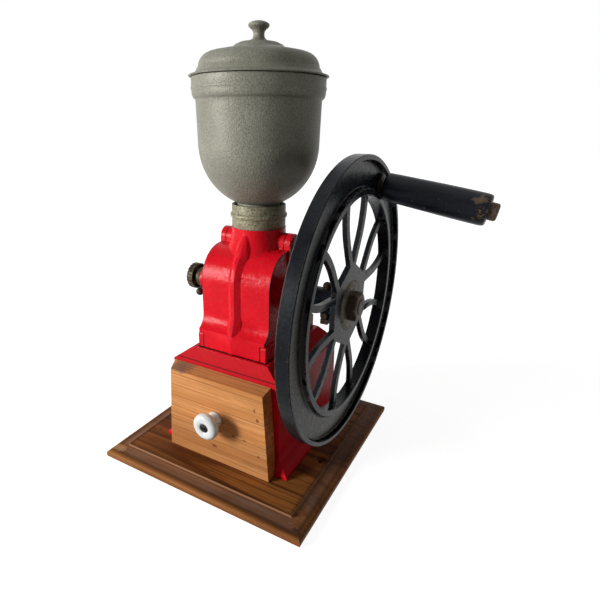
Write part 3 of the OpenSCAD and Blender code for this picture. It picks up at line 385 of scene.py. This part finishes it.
# %% [markdown]
# ## Handle grip
# A turner shapes the grip between centres, so it is spun too, and then tipped onto its spindle,
# which leans 9 degrees down. It thickens towards its outer end and is bored through for the spindle.
# The outline closes on itself at the bore, so the bore gets its wall from the same spin.

# %% Spin the grip
lean = radians(9)
knee = Vector((0.1019, 0.04989, 0.27404))
bore_r, grip_start, grip_end = 4.55, 2.4, 92.8
spun("handle_grip", [
    (bore_r, grip_start), (10.6, grip_start), (11.4, 2.7), (12.0, 3.4), (12.25, 4.6), (12.5, 14),
    (12.85, 30), (13.2, 48), (13.4, 64), (13.45, 80), (13.4, 88), (13.2, 90.2), (12.7, 91.7),
    (11.9, 92.5), (10.8, grip_end), (bore_r, grip_end), (bore_r, grip_start)],
    steps=72, place=Matrix.Translation(knee) @ Matrix.Rotation(pi / 2 + lean, 4, "Y"))

# %% [markdown]
# ## Porcelain knob
# The drawer's knob is moulded porcelain: a foot, a waist and a thick round head with a recess for
# the screw. It is spun upright like the rest and then laid along its screw, which points forward.

# %% Spin the porcelain knob
knob_foot = Vector((0, -0.0806, 0.063))
hole_r, recess_r, recess_floor = 2.05, 4.4, 16.6
spun("porcelain_knob", [
    (hole_r, 0), (7.4, 0), (7.9, 0.6), (7.9, 1.6), (7.3, 2.8), (6.2, 4), (5.5, 5.2), (5.4, 6.4),
    (6.0, 7.8), (7.8, 9.2), (10.2, 10.3), (12.2, 11.3), (13.3, 12.8), (13.6, 14.4), (13.4, 16.2),
    (12.6, 17.9), (11.3, 19), (9.6, 19.55), (7.2, 19.55), (5.4, 19.2), (4.6, 18.6),
    (recess_r, recess_floor), (hole_r, recess_floor), (hole_r, 0)],
    steps=64, place=Matrix.Translation(knob_foot) @ Matrix.Rotation(pi / 2, 4, "X"))

# %% [markdown]
# ## Building blocks of a finish
# A finish is colour, gloss and relief that vary together. Image textures would need unwrapped
# pieces, so every pattern here is solid and sits in object coordinates: they're in metres, so a
# noise scale of 500 gives marks about 2 mm wide on any piece.


# %% Patterns
def place_pattern(tree, stretch=(1, 1, 1), turn=(0, 0, 0), shift=(0, 0, 0)):
    """Object coordinates, scaled, turned and moved."""
    fitted = add(tree, "Mapping", Scale=stretch, Rotation=turn, Location=shift)
    join(tree, add(tree, "TexCoord").outputs["Object"], fitted.inputs["Vector"])
    return fitted.outputs["Vector"]


def cloudy(tree, vector, size, detail=4, rough=0.55, warp=0):
    """A noise between 0 and 1, mostly near the middle."""
    noise = add(tree, "TexNoise", Scale=size, Detail=detail, Roughness=rough, Distortion=warp)
    join(tree, vector, noise.inputs["Vector"])
    return noise.outputs["Fac"]


def ramp(tree, value, *stops):
    """Maps a value to greys: stops are (position, grey)."""
    node = add(tree, "ValToRGB")
    bar = node.color_ramp.elements
    while len(bar) < len(stops):
        bar.new(0.5)
    for element, (place, grey) in zip(bar, stops):
        element.position = place
        element.color = (grey, grey, grey, 1)
    join(tree, value, node.inputs["Fac"])
    return node.outputs["Color"]


def mixed(tree, share, first, second, way="MIX"):
    """Lays a second colour over a first, by a share or a mask."""
    node = add(tree, "Mix", data_type="RGBA", blend_type=way)
    factor, below, over = (node.inputs[i] for i in (0, 6, 7))
    for value, socket in ((share, factor), (first, below), (second, over)):
        join(tree, value, socket)
    return node.outputs[2]


# %% [markdown]
# ## Masks
# Wear sits in places, not everywhere, so each layer needs a mask. Painting one by hand would be lost
# when the mesh changes. A mask worked out from coordinates stays: a band between two heights, a
# ragged blot at a spot, or the edges themselves, where a softened normal turns from the true one.


# %% Masks from places
def axis_of(tree, axis):
    """One object coordinate, in millimetres."""
    split = add(tree, "SeparateXYZ")
    join(tree, add(tree, "TexCoord").outputs["Object"], split.inputs[0])
    return maths(tree, "DIVIDE", split.outputs[axis], mm)


def within(tree, value, low, high):
    """1 where a value lies between two bounds, with a short soft edge."""
    softness = 0.15
    middle, half = (low + high) / 2, (high - low) / 2
    away = maths(tree, "ABSOLUTE", maths(tree, "SUBTRACT", value, middle))
    return maths(tree, "MULTIPLY", maths(tree, "SUBTRACT", half + softness, away), 5, clamp=True)


def all_of(tree, *masks):
    """Shows only where every mask does."""
    return maths(tree, "MULTIPLY", *masks)


def any_of(tree, *masks):
    """Shows wherever one of the masks does."""
    return maths(tree, "MAXIMUM", *masks)


def length_of(tree, first, second):
    """The distance from the middle, from two coordinates at a right angle."""
    squares = (maths(tree, "MULTIPLY", side, side) for side in (first, second))
    return maths(tree, "SQRT", maths(tree, "ADD", *squares))


def blot(tree, tone, centre, reach, colour, depth, axes="XZ"):
    """Lays a soft-edged blot of colour at a place given in millimetres on two axes."""
    offsets = [maths(tree, "DIVIDE", maths(tree, "SUBTRACT", axis_of(tree, axis), middle), extent)
               for axis, middle, extent in zip(axes, centre, reach)]
    fray = maths(tree, "MULTIPLY", cloudy(tree, place_pattern(tree), 260, 3), 0.9)
    ragged = maths(tree, "ADD", length_of(tree, *offsets), fray)
    mask = ramp(tree, ragged, (0.55, depth), (1.0, depth * 0.5), (1.45, 0.0))
    return mixed(tree, mask, tone, colour)


# %% Wear and relief
def worn_edges(tree, reach):
    """Near 1 along edges and 0 on flats, from how much a softened normal turns."""
    soft = add(tree, "Bevel", samples=6, Radius=reach * mm)
    true = add(tree, "NewGeometry")
    turn = add(tree, "VectorMath", operation="DOT_PRODUCT")
    join(tree, soft.outputs["Normal"], turn.inputs[0])
    join(tree, true.outputs["Normal"], turn.inputs[1])
    return ramp(tree, turn.outputs["Value"], (0.80, 1.0), (0.985, 0.0))


def relief(tree, shader, height, depth, strength):
    """Lets a height in millimetres bend the light, without moving the mesh."""
    node = add(tree, "Bump", Strength=strength, Distance=depth * mm)
    join(tree, height, node.inputs["Height"])
    join(tree, node.outputs["Normal"], shader.inputs["Normal"])


# %% [markdown]
# ## Red enamel
# The castings were brush-painted in a glossy red over rough iron. The paint's colour is even, so the
# life is in its relief: a coarse swell left by the sand and a fine orange peel. Along edges the paint
# wears through to dark iron in small uneven chips, and a few knocks on the front have gone through.
# Modelled dents would cost thousands of faces and show no more than these masks do.

# %% Red paint, chips and knocks
red_enamel, tree, shader = new_finish("red_enamel")
spot = place_pattern(tree)
sand = cloudy(tree, spot, 260, 5, 0.6)
swell = cloudy(tree, spot, 55, 3)
patches = ramp(tree, swell, (0.35, 0), (0.7, 1))
tone = mixed(tree, patches, (0.60, 0.003, 0.011), (0.68, 0.005, 0.015))
crumbs = ramp(tree, cloudy(tree, spot, 420, 5, 0.7), (0.54, 0.0), (0.60, 1.0))
chips = all_of(tree, worn_edges(tree, 1.0), crumbs)
specks = ramp(tree, cloudy(tree, spot, 700, 2), (0.76, 0.0), (0.79, 1.0))
tone = mixed(tree, any_of(tree, chips, specks), tone, (0.035, 0.012, 0.010))
knocks = (((-1.2, 146), (1.3, 5.0)), ((-2.0, 138.5), (1.2, 1.6)), ((-3.0, 187), (1.2, 1.2)),
          ((14, 213), (1.3, 1.1)), ((26, 158), (1.2, 1.3)), ((9, 186), (0.8, 0.8)))
for centre, reach in knocks:
    tone = blot(tree, tone, centre, reach, (0.11, 0.05, 0.045), 0.9)
print("red paint:", len(knocks), "knocks")

# %% [markdown]
# ## Painted shade in the seams of the red
# Where painted pieces meet, round the side plates, in the corner blocks, under the head's foot and
# along the lip above the drawer, dark lines are painted: painted shade of the gaps, with some dirt
# in them. The gaps are real in the CAD model, but too thin to draw a line at this distance, so each
# seam is a mask. The base's sloped top is painted a darker red, as painted shade. Ground coffee and
# cloths have dulled the base casting, most of all its sloped top, so the gloss stops at the head's
# foot.

# %% Painted shade in the seams, and a dull base
across, along, up = (axis_of(tree, name) for name in "XYZ")
aside, afar = (maths(tree, "ABSOLUTE", way) for way in (across, along))
foot_z, slope_z = (119.3, 120.3), (104, 119.4)
# Painted shade: near-black lines in the thin gaps, round the plates' rims and under the head's foot.
shaded_seams = (
    ((aside, 31.9, 32.9), (up, 217, 240)),
    ((aside, 31.9, 32.9), (up, 120, 135.6), (afar, 50, 60)),
    ((aside, 37.05, 37.6), (up, 136, 216)),
    ((up, *foot_z), (aside, -1, 39.7), (afar, -1, 53.2)))
lines = [all_of(tree, *(within(tree, *bounds) for bounds in seam)) for seam in shaded_seams]
# Painted shade: a dark line under the lip above the drawer.
drawer_lip_shade = all_of(tree, within(tree, up, 108.1, 108.9), within(tree, along, -75, -60.5), 0.8)
# The base's sloped top: its red is painted darker here as painted shade, and below its gloss is
# dulled.
shaded_dull_slope = within(tree, up, *slope_z)
tone = mixed(tree, all_of(tree, shaded_dull_slope, 0.6), tone, (0.42, 0.002, 0.007))
tone = mixed(tree, any_of(tree, *lines, drawer_lip_shade), tone, (0.012, 0.004, 0.004))
join(tree, tone, shader.inputs["Base Color"])
print("seams:", len(shaded_seams) + 1)

# %% Gloss and relief of the red
base_z = (15, 119.4)
dull = all_of(tree, any_of(tree, within(tree, up, *base_z), all_of(tree, shaded_dull_slope, 1.3)), 0.5)
gloss = ramp(tree, sand, (0.3, 0.20), (0.75, 0.34))
join(tree, any_of(tree, dull, gloss), shader.inputs["Roughness"])
join(tree, 0.10, shader.inputs["Specular IOR Level"])
relief(tree, shader, maths(tree, "ADD", maths(tree, "MULTIPLY", swell, 2.5), sand), 0.45, 0.6)
print("red enamel:", len(tree.nodes), "nodes")

# %% [markdown]
# ## Black wheel paint
# The wheel's paint is a blue-black satin, rubbed by hands and chipped to grey-brown iron along the
# edges. That pale grey-brown is also painted highlight, where the edges catch the light. Black
# paint shows its form by gloss alone, so the roughness varies more than the colour does.

# %% Black paint, bare edges and painted edge highlights
wheel_paint, tree, shader = new_finish("wheel_paint")
spot = place_pattern(tree)
pits = cloudy(tree, spot, 330, 5, 0.65)
patches = cloudy(tree, spot, 45, 4, 0.6)
tone = mixed(tree, ramp(tree, patches, (0.4, 0), (0.7, 1)),
             (0.003, 0.004, 0.0058), (0.009, 0.0115, 0.015))
crumbs = ramp(tree, cloudy(tree, spot, 240, 5, 0.7), (0.44, 0.0), (0.56, 1.0))
# Edge wear and painted highlight: the edges are picked out for a pale colour.
edge_wear_and_highlight = all_of(tree, worn_edges(tree, 1.4), crumbs)
specks = ramp(tree, cloudy(tree, spot, 520, 3), (0.71, 0.0), (0.74, 1.0))
bare = any_of(tree, edge_wear_and_highlight, specks)
print("wheel paint:", len(tree.nodes), "nodes")

# %% [markdown]
# ## Dust in the wheel's channel
# Brown coffee dust lies in the channel of the rim, thickest below, where nothing brushes it out. Its
# mask is a ring round the shaft, cut to the channel's depth, that fades out above the shaft.

# %% Dust the channel
shaft_z, channel_r, channel_x = 173.1, (103, 124), (97, 99.5)
dust_top, dust_fade = 60, 0.02
rise = maths(tree, "SUBTRACT", axis_of(tree, "Z"), shaft_z)
reach = length_of(tree, axis_of(tree, "Y"), rise)
gutter = all_of(tree, within(tree, reach, *channel_r),
                within(tree, axis_of(tree, "X"), *channel_x))
low = maths(tree, "MULTIPLY", maths(tree, "SUBTRACT", dust_top, rise), dust_fade, clamp=True)
drift = ramp(tree, cloudy(tree, spot, 60, 4, 0.6), (0.35, 0.4), (0.6, 0.9))
tone = mixed(tree, all_of(tree, gutter, low, drift), tone, (0.024, 0.017, 0.012))
# The pale colour is bare iron and painted highlight along the edges, and bare iron in the specks.
join(tree, mixed(tree, bare, tone, (0.13, 0.105, 0.08)), shader.inputs["Base Color"])
join(tree, ramp(tree, pits, (0.3, 0.20), (0.75, 0.42)), shader.inputs["Roughness"])
join(tree, 0.09, shader.inputs["Specular IOR Level"])
relief(tree, shader, maths(tree, "ADD", patches, pits), 0.25, 0.5)
print("channel dust: below", shaft_z + dust_top, "mm")

# %% [markdown]
# ## Hammered pewter paint
# The hopper's finish flows into tiny cells as it dries. A cell pattern gives the relief, a finer
# grain breaks up colour and gloss, and a slow cloudiness keeps the large round belly from looking
# printed. The collar's paint is only coarser, more worn and yellower, so one maker serves both.


# %% Make the hammered finishes
def hammered(name, dark, light, cell, depth, spots, pitted=0.69):
    """Two paint colours, cells to the metre, their relief, and how much and where rust shows."""
    made, tree, shader = new_finish(name)
    spot = place_pattern(tree)
    cells = add(tree, "TexVoronoi", feature="SMOOTH_F1", Scale=cell, Smoothness=0.6)
    join(tree, spot, cells.inputs["Vector"])
    grain = cloudy(tree, spot, cell * 1.4, 4, 0.6)
    clouds = cloudy(tree, spot, 22, 4, 0.6)
    deep = tuple(c * 0.55 for c in dark)
    tone = mixed(tree, ramp(tree, clouds, (0.35, 0), (0.68, 1)), dark, light)
    tone = mixed(tree, ramp(tree, grain, (0.40, 0.75), (0.52, 0.0)), tone, deep)
    rust = ramp(tree, cloudy(tree, spot, 420, 4, 0.7), (pitted, 0.0), (pitted + 0.05, spots))
    join(tree, mixed(tree, rust, tone, (0.10, 0.08, 0.05)), shader.inputs["Base Color"])
    join(tree, 0.12, shader.inputs["Metallic"])
    join(tree, 0.14, shader.inputs["Specular IOR Level"])
    join(tree, ramp(tree, grain, (0.3, 0.38), (0.7, 0.56)), shader.inputs["Roughness"])
    relief(tree, shader, cells.outputs["Distance"], depth, 0.6)
    print(name + ":", len(tree.nodes), "nodes")
    return made


pewter_paint = hammered("pewter_paint", (0.215, 0.210, 0.165), (0.29, 0.285, 0.230),
                        780, 0.35, 0.6)
collar_paint = hammered("collar_paint", (0.17, 0.155, 0.09), (0.34, 0.32, 0.22),
                        420, 0.40, 0.75, 0.56)

# %% [markdown]
# ## Wood
# Wood is rings seen through a cut. The ring pattern is a noise that is stretched along the grain and
# folded many times by a sine, so it closes into loops as sawn boards do. Fine dark pores and a
# broad stain lie over it. The end grain comes right by itself, because the pattern is solid.


# %% A maker of wood
def wood(name, early, late, grain, size, rings, gloss):
    """Returns a wood, its tree, shader and colour, for a cell that wears it down further."""
    made, tree, shader = new_finish(name)
    trunk = cloudy(tree, place_pattern(tree, grain), size, 2, 0.4, 0.25)
    folded = maths(tree, "SINE", maths(tree, "MULTIPLY", trunk, rings * 2 * pi))
    folded = maths(tree, "ADD", maths(tree, "MULTIPLY", folded, 0.5), 0.5)
    ring = ramp(tree, folded, (0.1, 0.0), (0.7, 0.4), (0.95, 1.0))
    thin = tuple(g * 9 if g == 1 else g * 2 for g in grain)
    fibre = cloudy(tree, place_pattern(tree, thin), 60, 5, 0.7)
    wide = tuple(g if g == 1 else 0.4 for g in grain)
    stain = cloudy(tree, place_pattern(tree, wide), 14, 3)
    pore, shadow = (tuple(c * share for c in late) for share in (0.4, 0.7))
    tone = mixed(tree, ring, early, late)
    tone = mixed(tree, ramp(tree, fibre, (0.38, 0.8), (0.52, 0.0)), tone, pore)
    tone = mixed(tree, ramp(tree, stain, (0.35, 0.45), (0.62, 0.0)), tone, shadow)
    join(tree, tone, shader.inputs["Base Color"])
    sheen = ramp(tree, fibre, (0.3, gloss + 0.12), (0.7, gloss - 0.06))
    join(tree, sheen, shader.inputs["Roughness"])
    join(tree, 0.07, shader.inputs["Specular IOR Level"])
    height = maths(tree, "ADD", fibre, maths(tree, "MULTIPLY", ring, 0.3))
    relief(tree, shader, height, 0.3, 0.7)
    return made, tree, shader, tone


# %% [markdown]
# ## The board's walnut
# A moulded walnut board wears by its mouldings: the slope is scrubbed pale, the nose is rubbed
# bright, and dirt stays in the quirks between them. One value counts how far a place lies in from
# the board's edge, so each moulding gets its own band all the way round.

# %% Wear along the mouldings
board_wood, tree, shader, tone = wood(
    "board_wood", (0.34, 0.125, 0.030), (0.135, 0.042, 0.010), (0.06, 1, 1), 20, 9, 0.5)
half_w, half_d, board_back, mould_w = 113.5, 117, 5.2, 20
sideways = maths(tree, "ABSOLUTE", axis_of(tree, "X"))
endways = maths(tree, "ABSOLUTE", maths(tree, "ADD", axis_of(tree, "Y"), board_back))
side_gap = maths(tree, "SUBTRACT", half_w, sideways)
front_gap = maths(tree, "SUBTRACT", half_d, endways)
inset = maths(tree, "DIVIDE", maths(tree, "MINIMUM", side_gap, front_gap), mould_w)
worn = cloudy(tree, place_pattern(tree, (0.3, 1, 1)), 70, 4, 0.6)
slope = ramp(tree, inset, (0.20, 0.0), (0.30, 0.75), (0.74, 0.85), (0.80, 0.0))
scrubbed = all_of(tree, slope, ramp(tree, worn, (0.35, 0.25), (0.62, 1.0)))
tone = mixed(tree, scrubbed, tone, (0.20, 0.112, 0.075))
nose = ramp(tree, inset, (0.0, 0.8), (0.20, 0.8), (0.28, 0.0))
rubbed = all_of(tree, nose, ramp(tree, worn, (0.32, 1.0), (0.60, 0.35)))
tone = mixed(tree, rubbed, tone, (0.30, 0.118, 0.036))
quirks = any_of(tree, within(tree, inset, 0.235, 0.262), within(tree, inset, 0.842, 0.90))
tone = mixed(tree, all_of(tree, quirks, 0.75), tone, (0.03, 0.014, 0.007))
print("board mouldings:", mould_w, "mm wide")

# %% [markdown]
# ## Marks on the board
# Years on a bench leave gouges filled with dirt, pale scuffs along the grain, a bright arris where
# the field begins, and one corner that has lost its skin.

# %% Gouges, scuffs and a bruised corner
gouges = cloudy(tree, place_pattern(tree, (0.16, 1, 1)), 240, 4, 0.75)
tone = mixed(tree, ramp(tree, gouges, (0.64, 0.0), (0.70, 0.9)), tone, (0.028, 0.013, 0.007))
scuffs = cloudy(tree, place_pattern(tree, (0.3, 1, 1), shift=(0.3, 0, 0)), 160, 5, 0.75)
tone = mixed(tree, ramp(tree, scuffs, (0.66, 0.0), (0.72, 0.55)), tone, (0.40, 0.24, 0.13))
arris = ramp(tree, inset, (0.78, 0.0), (0.80, 0.8), (0.83, 0.8), (0.85, 0.0))
tone = mixed(tree, arris, tone, (0.33, 0.165, 0.085))
marks = (((-107, -112), (22, 9), (0.42, 0.23, 0.11), 0.85),
         ((105, -114), (5, 4), (0.03, 0.014, 0.008), 0.8),
         ((-84, 30), (16, 90), (0.30, 0.15, 0.075), 0.45))
for centre, reach, colour, depth in marks:
    tone = blot(tree, tone, centre, reach, colour, depth, "XY")
join(tree, tone, shader.inputs["Base Color"])
print("board marks:", len(marks))

# %% [markdown]
# ## The drawer's wood
# The drawer's front is glued up from narrow strips of a lighter wood, so each strip has its own
# shade and a thin dark joint. Separate strips would need eight pieces for one board, while a
# coordinate cut into steps numbers them. The strips grow lighter towards the top.

# %% Strips and joints
drawer_wood, tree, shader, tone = wood(
    "drawer_wood", (0.60, 0.280, 0.106), (0.49, 0.200, 0.064), (0.07, 1, 1), 26, 5, 0.42)
strip_h, strip_shift, front_top = 12.5, 1.5, 105
height = axis_of(tree, "Z")
strip = maths(tree, "DIVIDE", maths(tree, "ADD", height, strip_shift), strip_h)
by_strip = add(tree, "TexWhiteNoise", noise_dimensions="1D")
join(tree, maths(tree, "FLOOR", strip), by_strip.inputs["W"])
tone = mixed(tree, all_of(tree, by_strip.outputs["Value"], 0.45), tone, (0.33, 0.135, 0.046))
joint = ramp(tree, maths(tree, "FRACT", strip),
             (0.0, 0.8), (0.03, 0.8), (0.07, 0.0), (0.96, 0.0), (1.0, 0.6))
broken = cloudy(tree, place_pattern(tree, (0.2, 1, 1)), 90, 3)
joint = all_of(tree, joint, ramp(tree, broken, (0.36, 0.35), (0.55, 1.0)))
tone = mixed(tree, joint, tone, (0.13, 0.045, 0.016))
# The front is made lighter towards the top.
light = ramp(tree, maths(tree, "DIVIDE", height, front_top), (0.30, 0.0), (0.55, 0.65), (0.80, 1.0))
tone = mixed(tree, all_of(tree, light, 0.75), tone, (1.6, 1.62, 1.6), "MULTIPLY")
print("strips:", round(front_top / strip_h), "in", front_top, "mm")

# %% [markdown]
# ## Oil, knots and the flank
# Oil has sunk in broadly, small dark knots sit here and there, and a brown stain lies at the left
# end of the top. The flank is end grain, which drinks more oil and turns redder, so it is picked out
# by its normal and tinted. The tint is also painted shade, set for the side away from the window.

# %% Oil, knots and the flank
oiled = cloudy(tree, place_pattern(tree, (0.45, 1, 1), shift=(0.1, 0, 0)), 26, 4, 0.65)
tone = mixed(tree, ramp(tree, oiled, (0.42, 0.0), (0.62, 0.55)), tone, (0.46, 0.190, 0.060))
knots = (((47, 77.4), (3.0, 4.0)), ((44, 86.9), (2.2, 4.2)), ((4, 50.1), (6.0, 2.2)),
         ((20.4, 50.3), (3.6, 2.0)), ((33, 49.8), (4.0, 2.0)), ((-3, 30.2), (6.0, 3.2)),
         ((48, 37.1), (3.0, 2.4)))
for centre, reach in knots:
    tone = blot(tree, tone, centre, reach, (0.14, 0.030, 0.010), 0.85)
tone = blot(tree, tone, (-43, 104), (22, 6), (0.20, 0.115, 0.08), 0.8)
facing = add(tree, "SeparateXYZ")
join(tree, add(tree, "TexCoord").outputs["Normal"], facing.inputs[0])
# End grain and painted shade: the side facing +X gets its own tint.
flank_tint_and_shade = ramp(tree, facing.outputs["X"], (0.45, 0.0), (0.65, 0.85))
tone = mixed(tree, flank_tint_and_shade, tone, (1.25, 0.85, 0.60), "MULTIPLY")
join(tree, tone, shader.inputs["Base Color"])
print("knots:", len(knots))

# %% [markdown]
# ## The drawer's box
# The sides, the back and the bottom are plain boards with the grain running front to back. They show
# only when the drawer is open, so they take the same maker with no wear.

# %% Drawer box wood
box_wood = wood("box_wood", (0.36, 0.19, 0.085), (0.24, 0.11, 0.045), (1, 0.07, 1), 20, 8, 0.6)[0]
print("box wood:", len(box_wood.node_tree.nodes), "nodes")

# %% [markdown]
# ## Black grip
# The grip was stained black. Hands have polished it, and knocks have broken the stain at its outer
# end, where bare brown wood shows. The wear grows along the grip's own axis, which leans, so a dot
# product with that axis measures how near the end a place lies.

# %% How far along the grip
worn_from, worn_to = 0.078, 0.093
grip_wood, tree, shader = new_finish("grip_wood")
spot = place_pattern(tree)
apart = add(tree, "VectorMath", operation="SUBTRACT")
join(tree, spot, apart.inputs[0])
join(tree, knee, apart.inputs[1])
along = add(tree, "VectorMath", operation="DOT_PRODUCT")
join(tree, apart.outputs["Vector"], along.inputs[0])
join(tree, Vector((cos(lean), 0, -sin(lean))), along.inputs[1])
to_end = add(tree, "MapRange", From_Min=worn_from, From_Max=worn_to)
join(tree, along.outputs["Value"], to_end.inputs["Value"])
print("grip: worn from", worn_from, "to", worn_to, "m")

# %% Make the grip's finish
streaks = cloudy(tree, place_pattern(tree, (0.12, 1, 1), (0, lean, 0)), 330, 5, 0.7)
blots = cloudy(tree, spot, 190, 5, 0.7)
worn = maths(tree, "ADD", maths(tree, "MULTIPLY", to_end.outputs["Result"], 0.17), blots)
bare = ramp(tree, worn, (0.645, 0.0), (0.675, 1.0))
black = mixed(tree, ramp(tree, streaks, (0.4, 0), (0.65, 1)),
              (0.006, 0.008, 0.013), (0.015, 0.018, 0.026))
brown = mixed(tree, ramp(tree, streaks, (0.35, 0), (0.6, 1)),
              (0.10, 0.050, 0.026), (0.27, 0.16, 0.09))
tone = mixed(tree, bare, black, brown)
tone = blot(tree, tone, (186, 269), (11, 5), (0.20, 0.13, 0.08), 0.9)
join(tree, tone, shader.inputs["Base Color"])
join(tree, ramp(tree, streaks, (0.3, 0.26), (0.7, 0.42)), shader.inputs["Roughness"])
join(tree, 0.13, shader.inputs["Specular IOR Level"])
height = maths(tree, "SUBTRACT", maths(tree, "MULTIPLY", streaks, 0.4), bare)
relief(tree, shader, height, 0.25, 0.5)
print("grip finish:", len(tree.nodes), "nodes")

# %% [markdown]
# ## Bare metals
# Old steel is never clean: brown oxide lies in blotches over grey. One maker serves all the bare
# metals, with two colours of metal and one of tarnish. The outside metals are half covered, so
# they're only half metallic; a full metal would mirror the white studio and look new.


# %% Make the metals
def old_metal(name, bright, dull, tarnish, amount, rough, metallic=0.85):
    """Two metal colours, the tarnish and its amount, the roughness and the share of metal."""
    made, tree, shader = new_finish(name)
    spot = place_pattern(tree)
    fine = cloudy(tree, spot, 900, 5, 0.7)
    blotch = cloudy(tree, spot, 160, 5, 0.65)
    tone = mixed(tree, ramp(tree, fine, (0.35, 0), (0.65, 1)), dull, bright)
    cover = ramp(tree, blotch, (0.62 - amount * 0.3, 0.0), (0.72 - amount * 0.3, 1.0))
    join(tree, mixed(tree, cover, tone, tarnish), shader.inputs["Base Color"])
    join(tree, metallic, shader.inputs["Metallic"])
    join(tree, 0.15, shader.inputs["Specular IOR Level"])
    join(tree, ramp(tree, blotch, (0.35, rough), (0.65, rough + 0.22)), shader.inputs["Roughness"])
    relief(tree, shader, maths(tree, "ADD", fine, blotch), 0.15, 0.5)
    return made


looks = {
    "dark_steel": ((0.035, 0.032, 0.030), (0.012, 0.011, 0.010), (0.02, 0.012, 0.008),
                   0.4, 0.45, 0.5),
    "worn_steel": ((0.065, 0.044, 0.028), (0.026, 0.018, 0.012), (0.035, 0.018, 0.010),
                   0.45, 0.42, 0.5),
    "rusty_steel": ((0.15, 0.11, 0.08), (0.07, 0.05, 0.036), (0.06, 0.028, 0.015),
                    0.4, 0.5, 0.4),
    "old_brass": ((0.085, 0.074, 0.045), (0.030, 0.026, 0.016), (0.02, 0.016, 0.010),
                  0.4, 0.42, 0.5),
    "bronze": ((0.48, 0.34, 0.16), (0.35, 0.24, 0.11), (0.14, 0.09, 0.05), 0.3, 0.35),
    "burr_iron": ((0.36, 0.35, 0.33), (0.22, 0.21, 0.2), (0.10, 0.06, 0.04), 0.35, 0.4)}
metals = {name: old_metal(name, *look) for name, look in looks.items()}
print("metals:", ", ".join(metals))

# %% [markdown]
# ## Porcelain
# Glazed porcelain is almost flawless: a clear coat, a faint cream cloud and the least waviness.
# Subsurface light would soften it a little, at a cost that a knob this small wouldn't repay.

# %% Make the glaze
porcelain_glaze, tree, shader = new_finish("porcelain_glaze")
spot = place_pattern(tree)
cream = ramp(tree, cloudy(tree, spot, 60, 3), (0.4, 0), (0.7, 1))
tone = mixed(tree, cream, (0.70, 0.71, 0.71), (0.64, 0.64, 0.62))
join(tree, tone, shader.inputs["Base Color"])
join(tree, 0.22, shader.inputs["Roughness"])
join(tree, 0.6, shader.inputs["Coat Weight"])
join(tree, 0.06, shader.inputs["Coat Roughness"])
relief(tree, shader, cloudy(tree, spot, 120, 2), 0.08, 0.4)
print("glaze:", len(tree.nodes), "nodes")

# %% [markdown]
# ## Dressing the pieces
# Each material slot of the record gets its finish, on the CAD nodes and on the shaped pieces that
# replace them. A piece has one slot, so its materials are cleared and one takes their place. The
# screws of the side plates went in before the paint, so the enamel covers them too.

# %% Give every piece its finish
finishes = {
    **metals, "red_enamel": red_enamel, "black_paint": wheel_paint, "pewter_paint": pewter_paint,
    "collar_paint": collar_paint, "walnut": board_wood, "drawer_wood": drawer_wood,
    "box_wood": box_wood, "black_wood": grip_wood, "porcelain": porcelain_glaze}
painted_over = {"plate_screws": red_enamel}
for entry in record["subparts"]:
    node = entry["node"]
    coat = painted_over.get(node, finishes[entry["material_slot"]])
    for piece in [frame["nodes"][node]] + ([shaped[node]] if node in shaped else []):
        piece.data.materials.clear()
        piece.data.materials.append(coat)
print("finishes:", len(finishes))

# %% [markdown]
# ## The colour view
# The view transform is set to Standard, so colours show as they are written.

# %% Set the colour view
bpy.context.scene.view_settings.view_transform = "Standard"
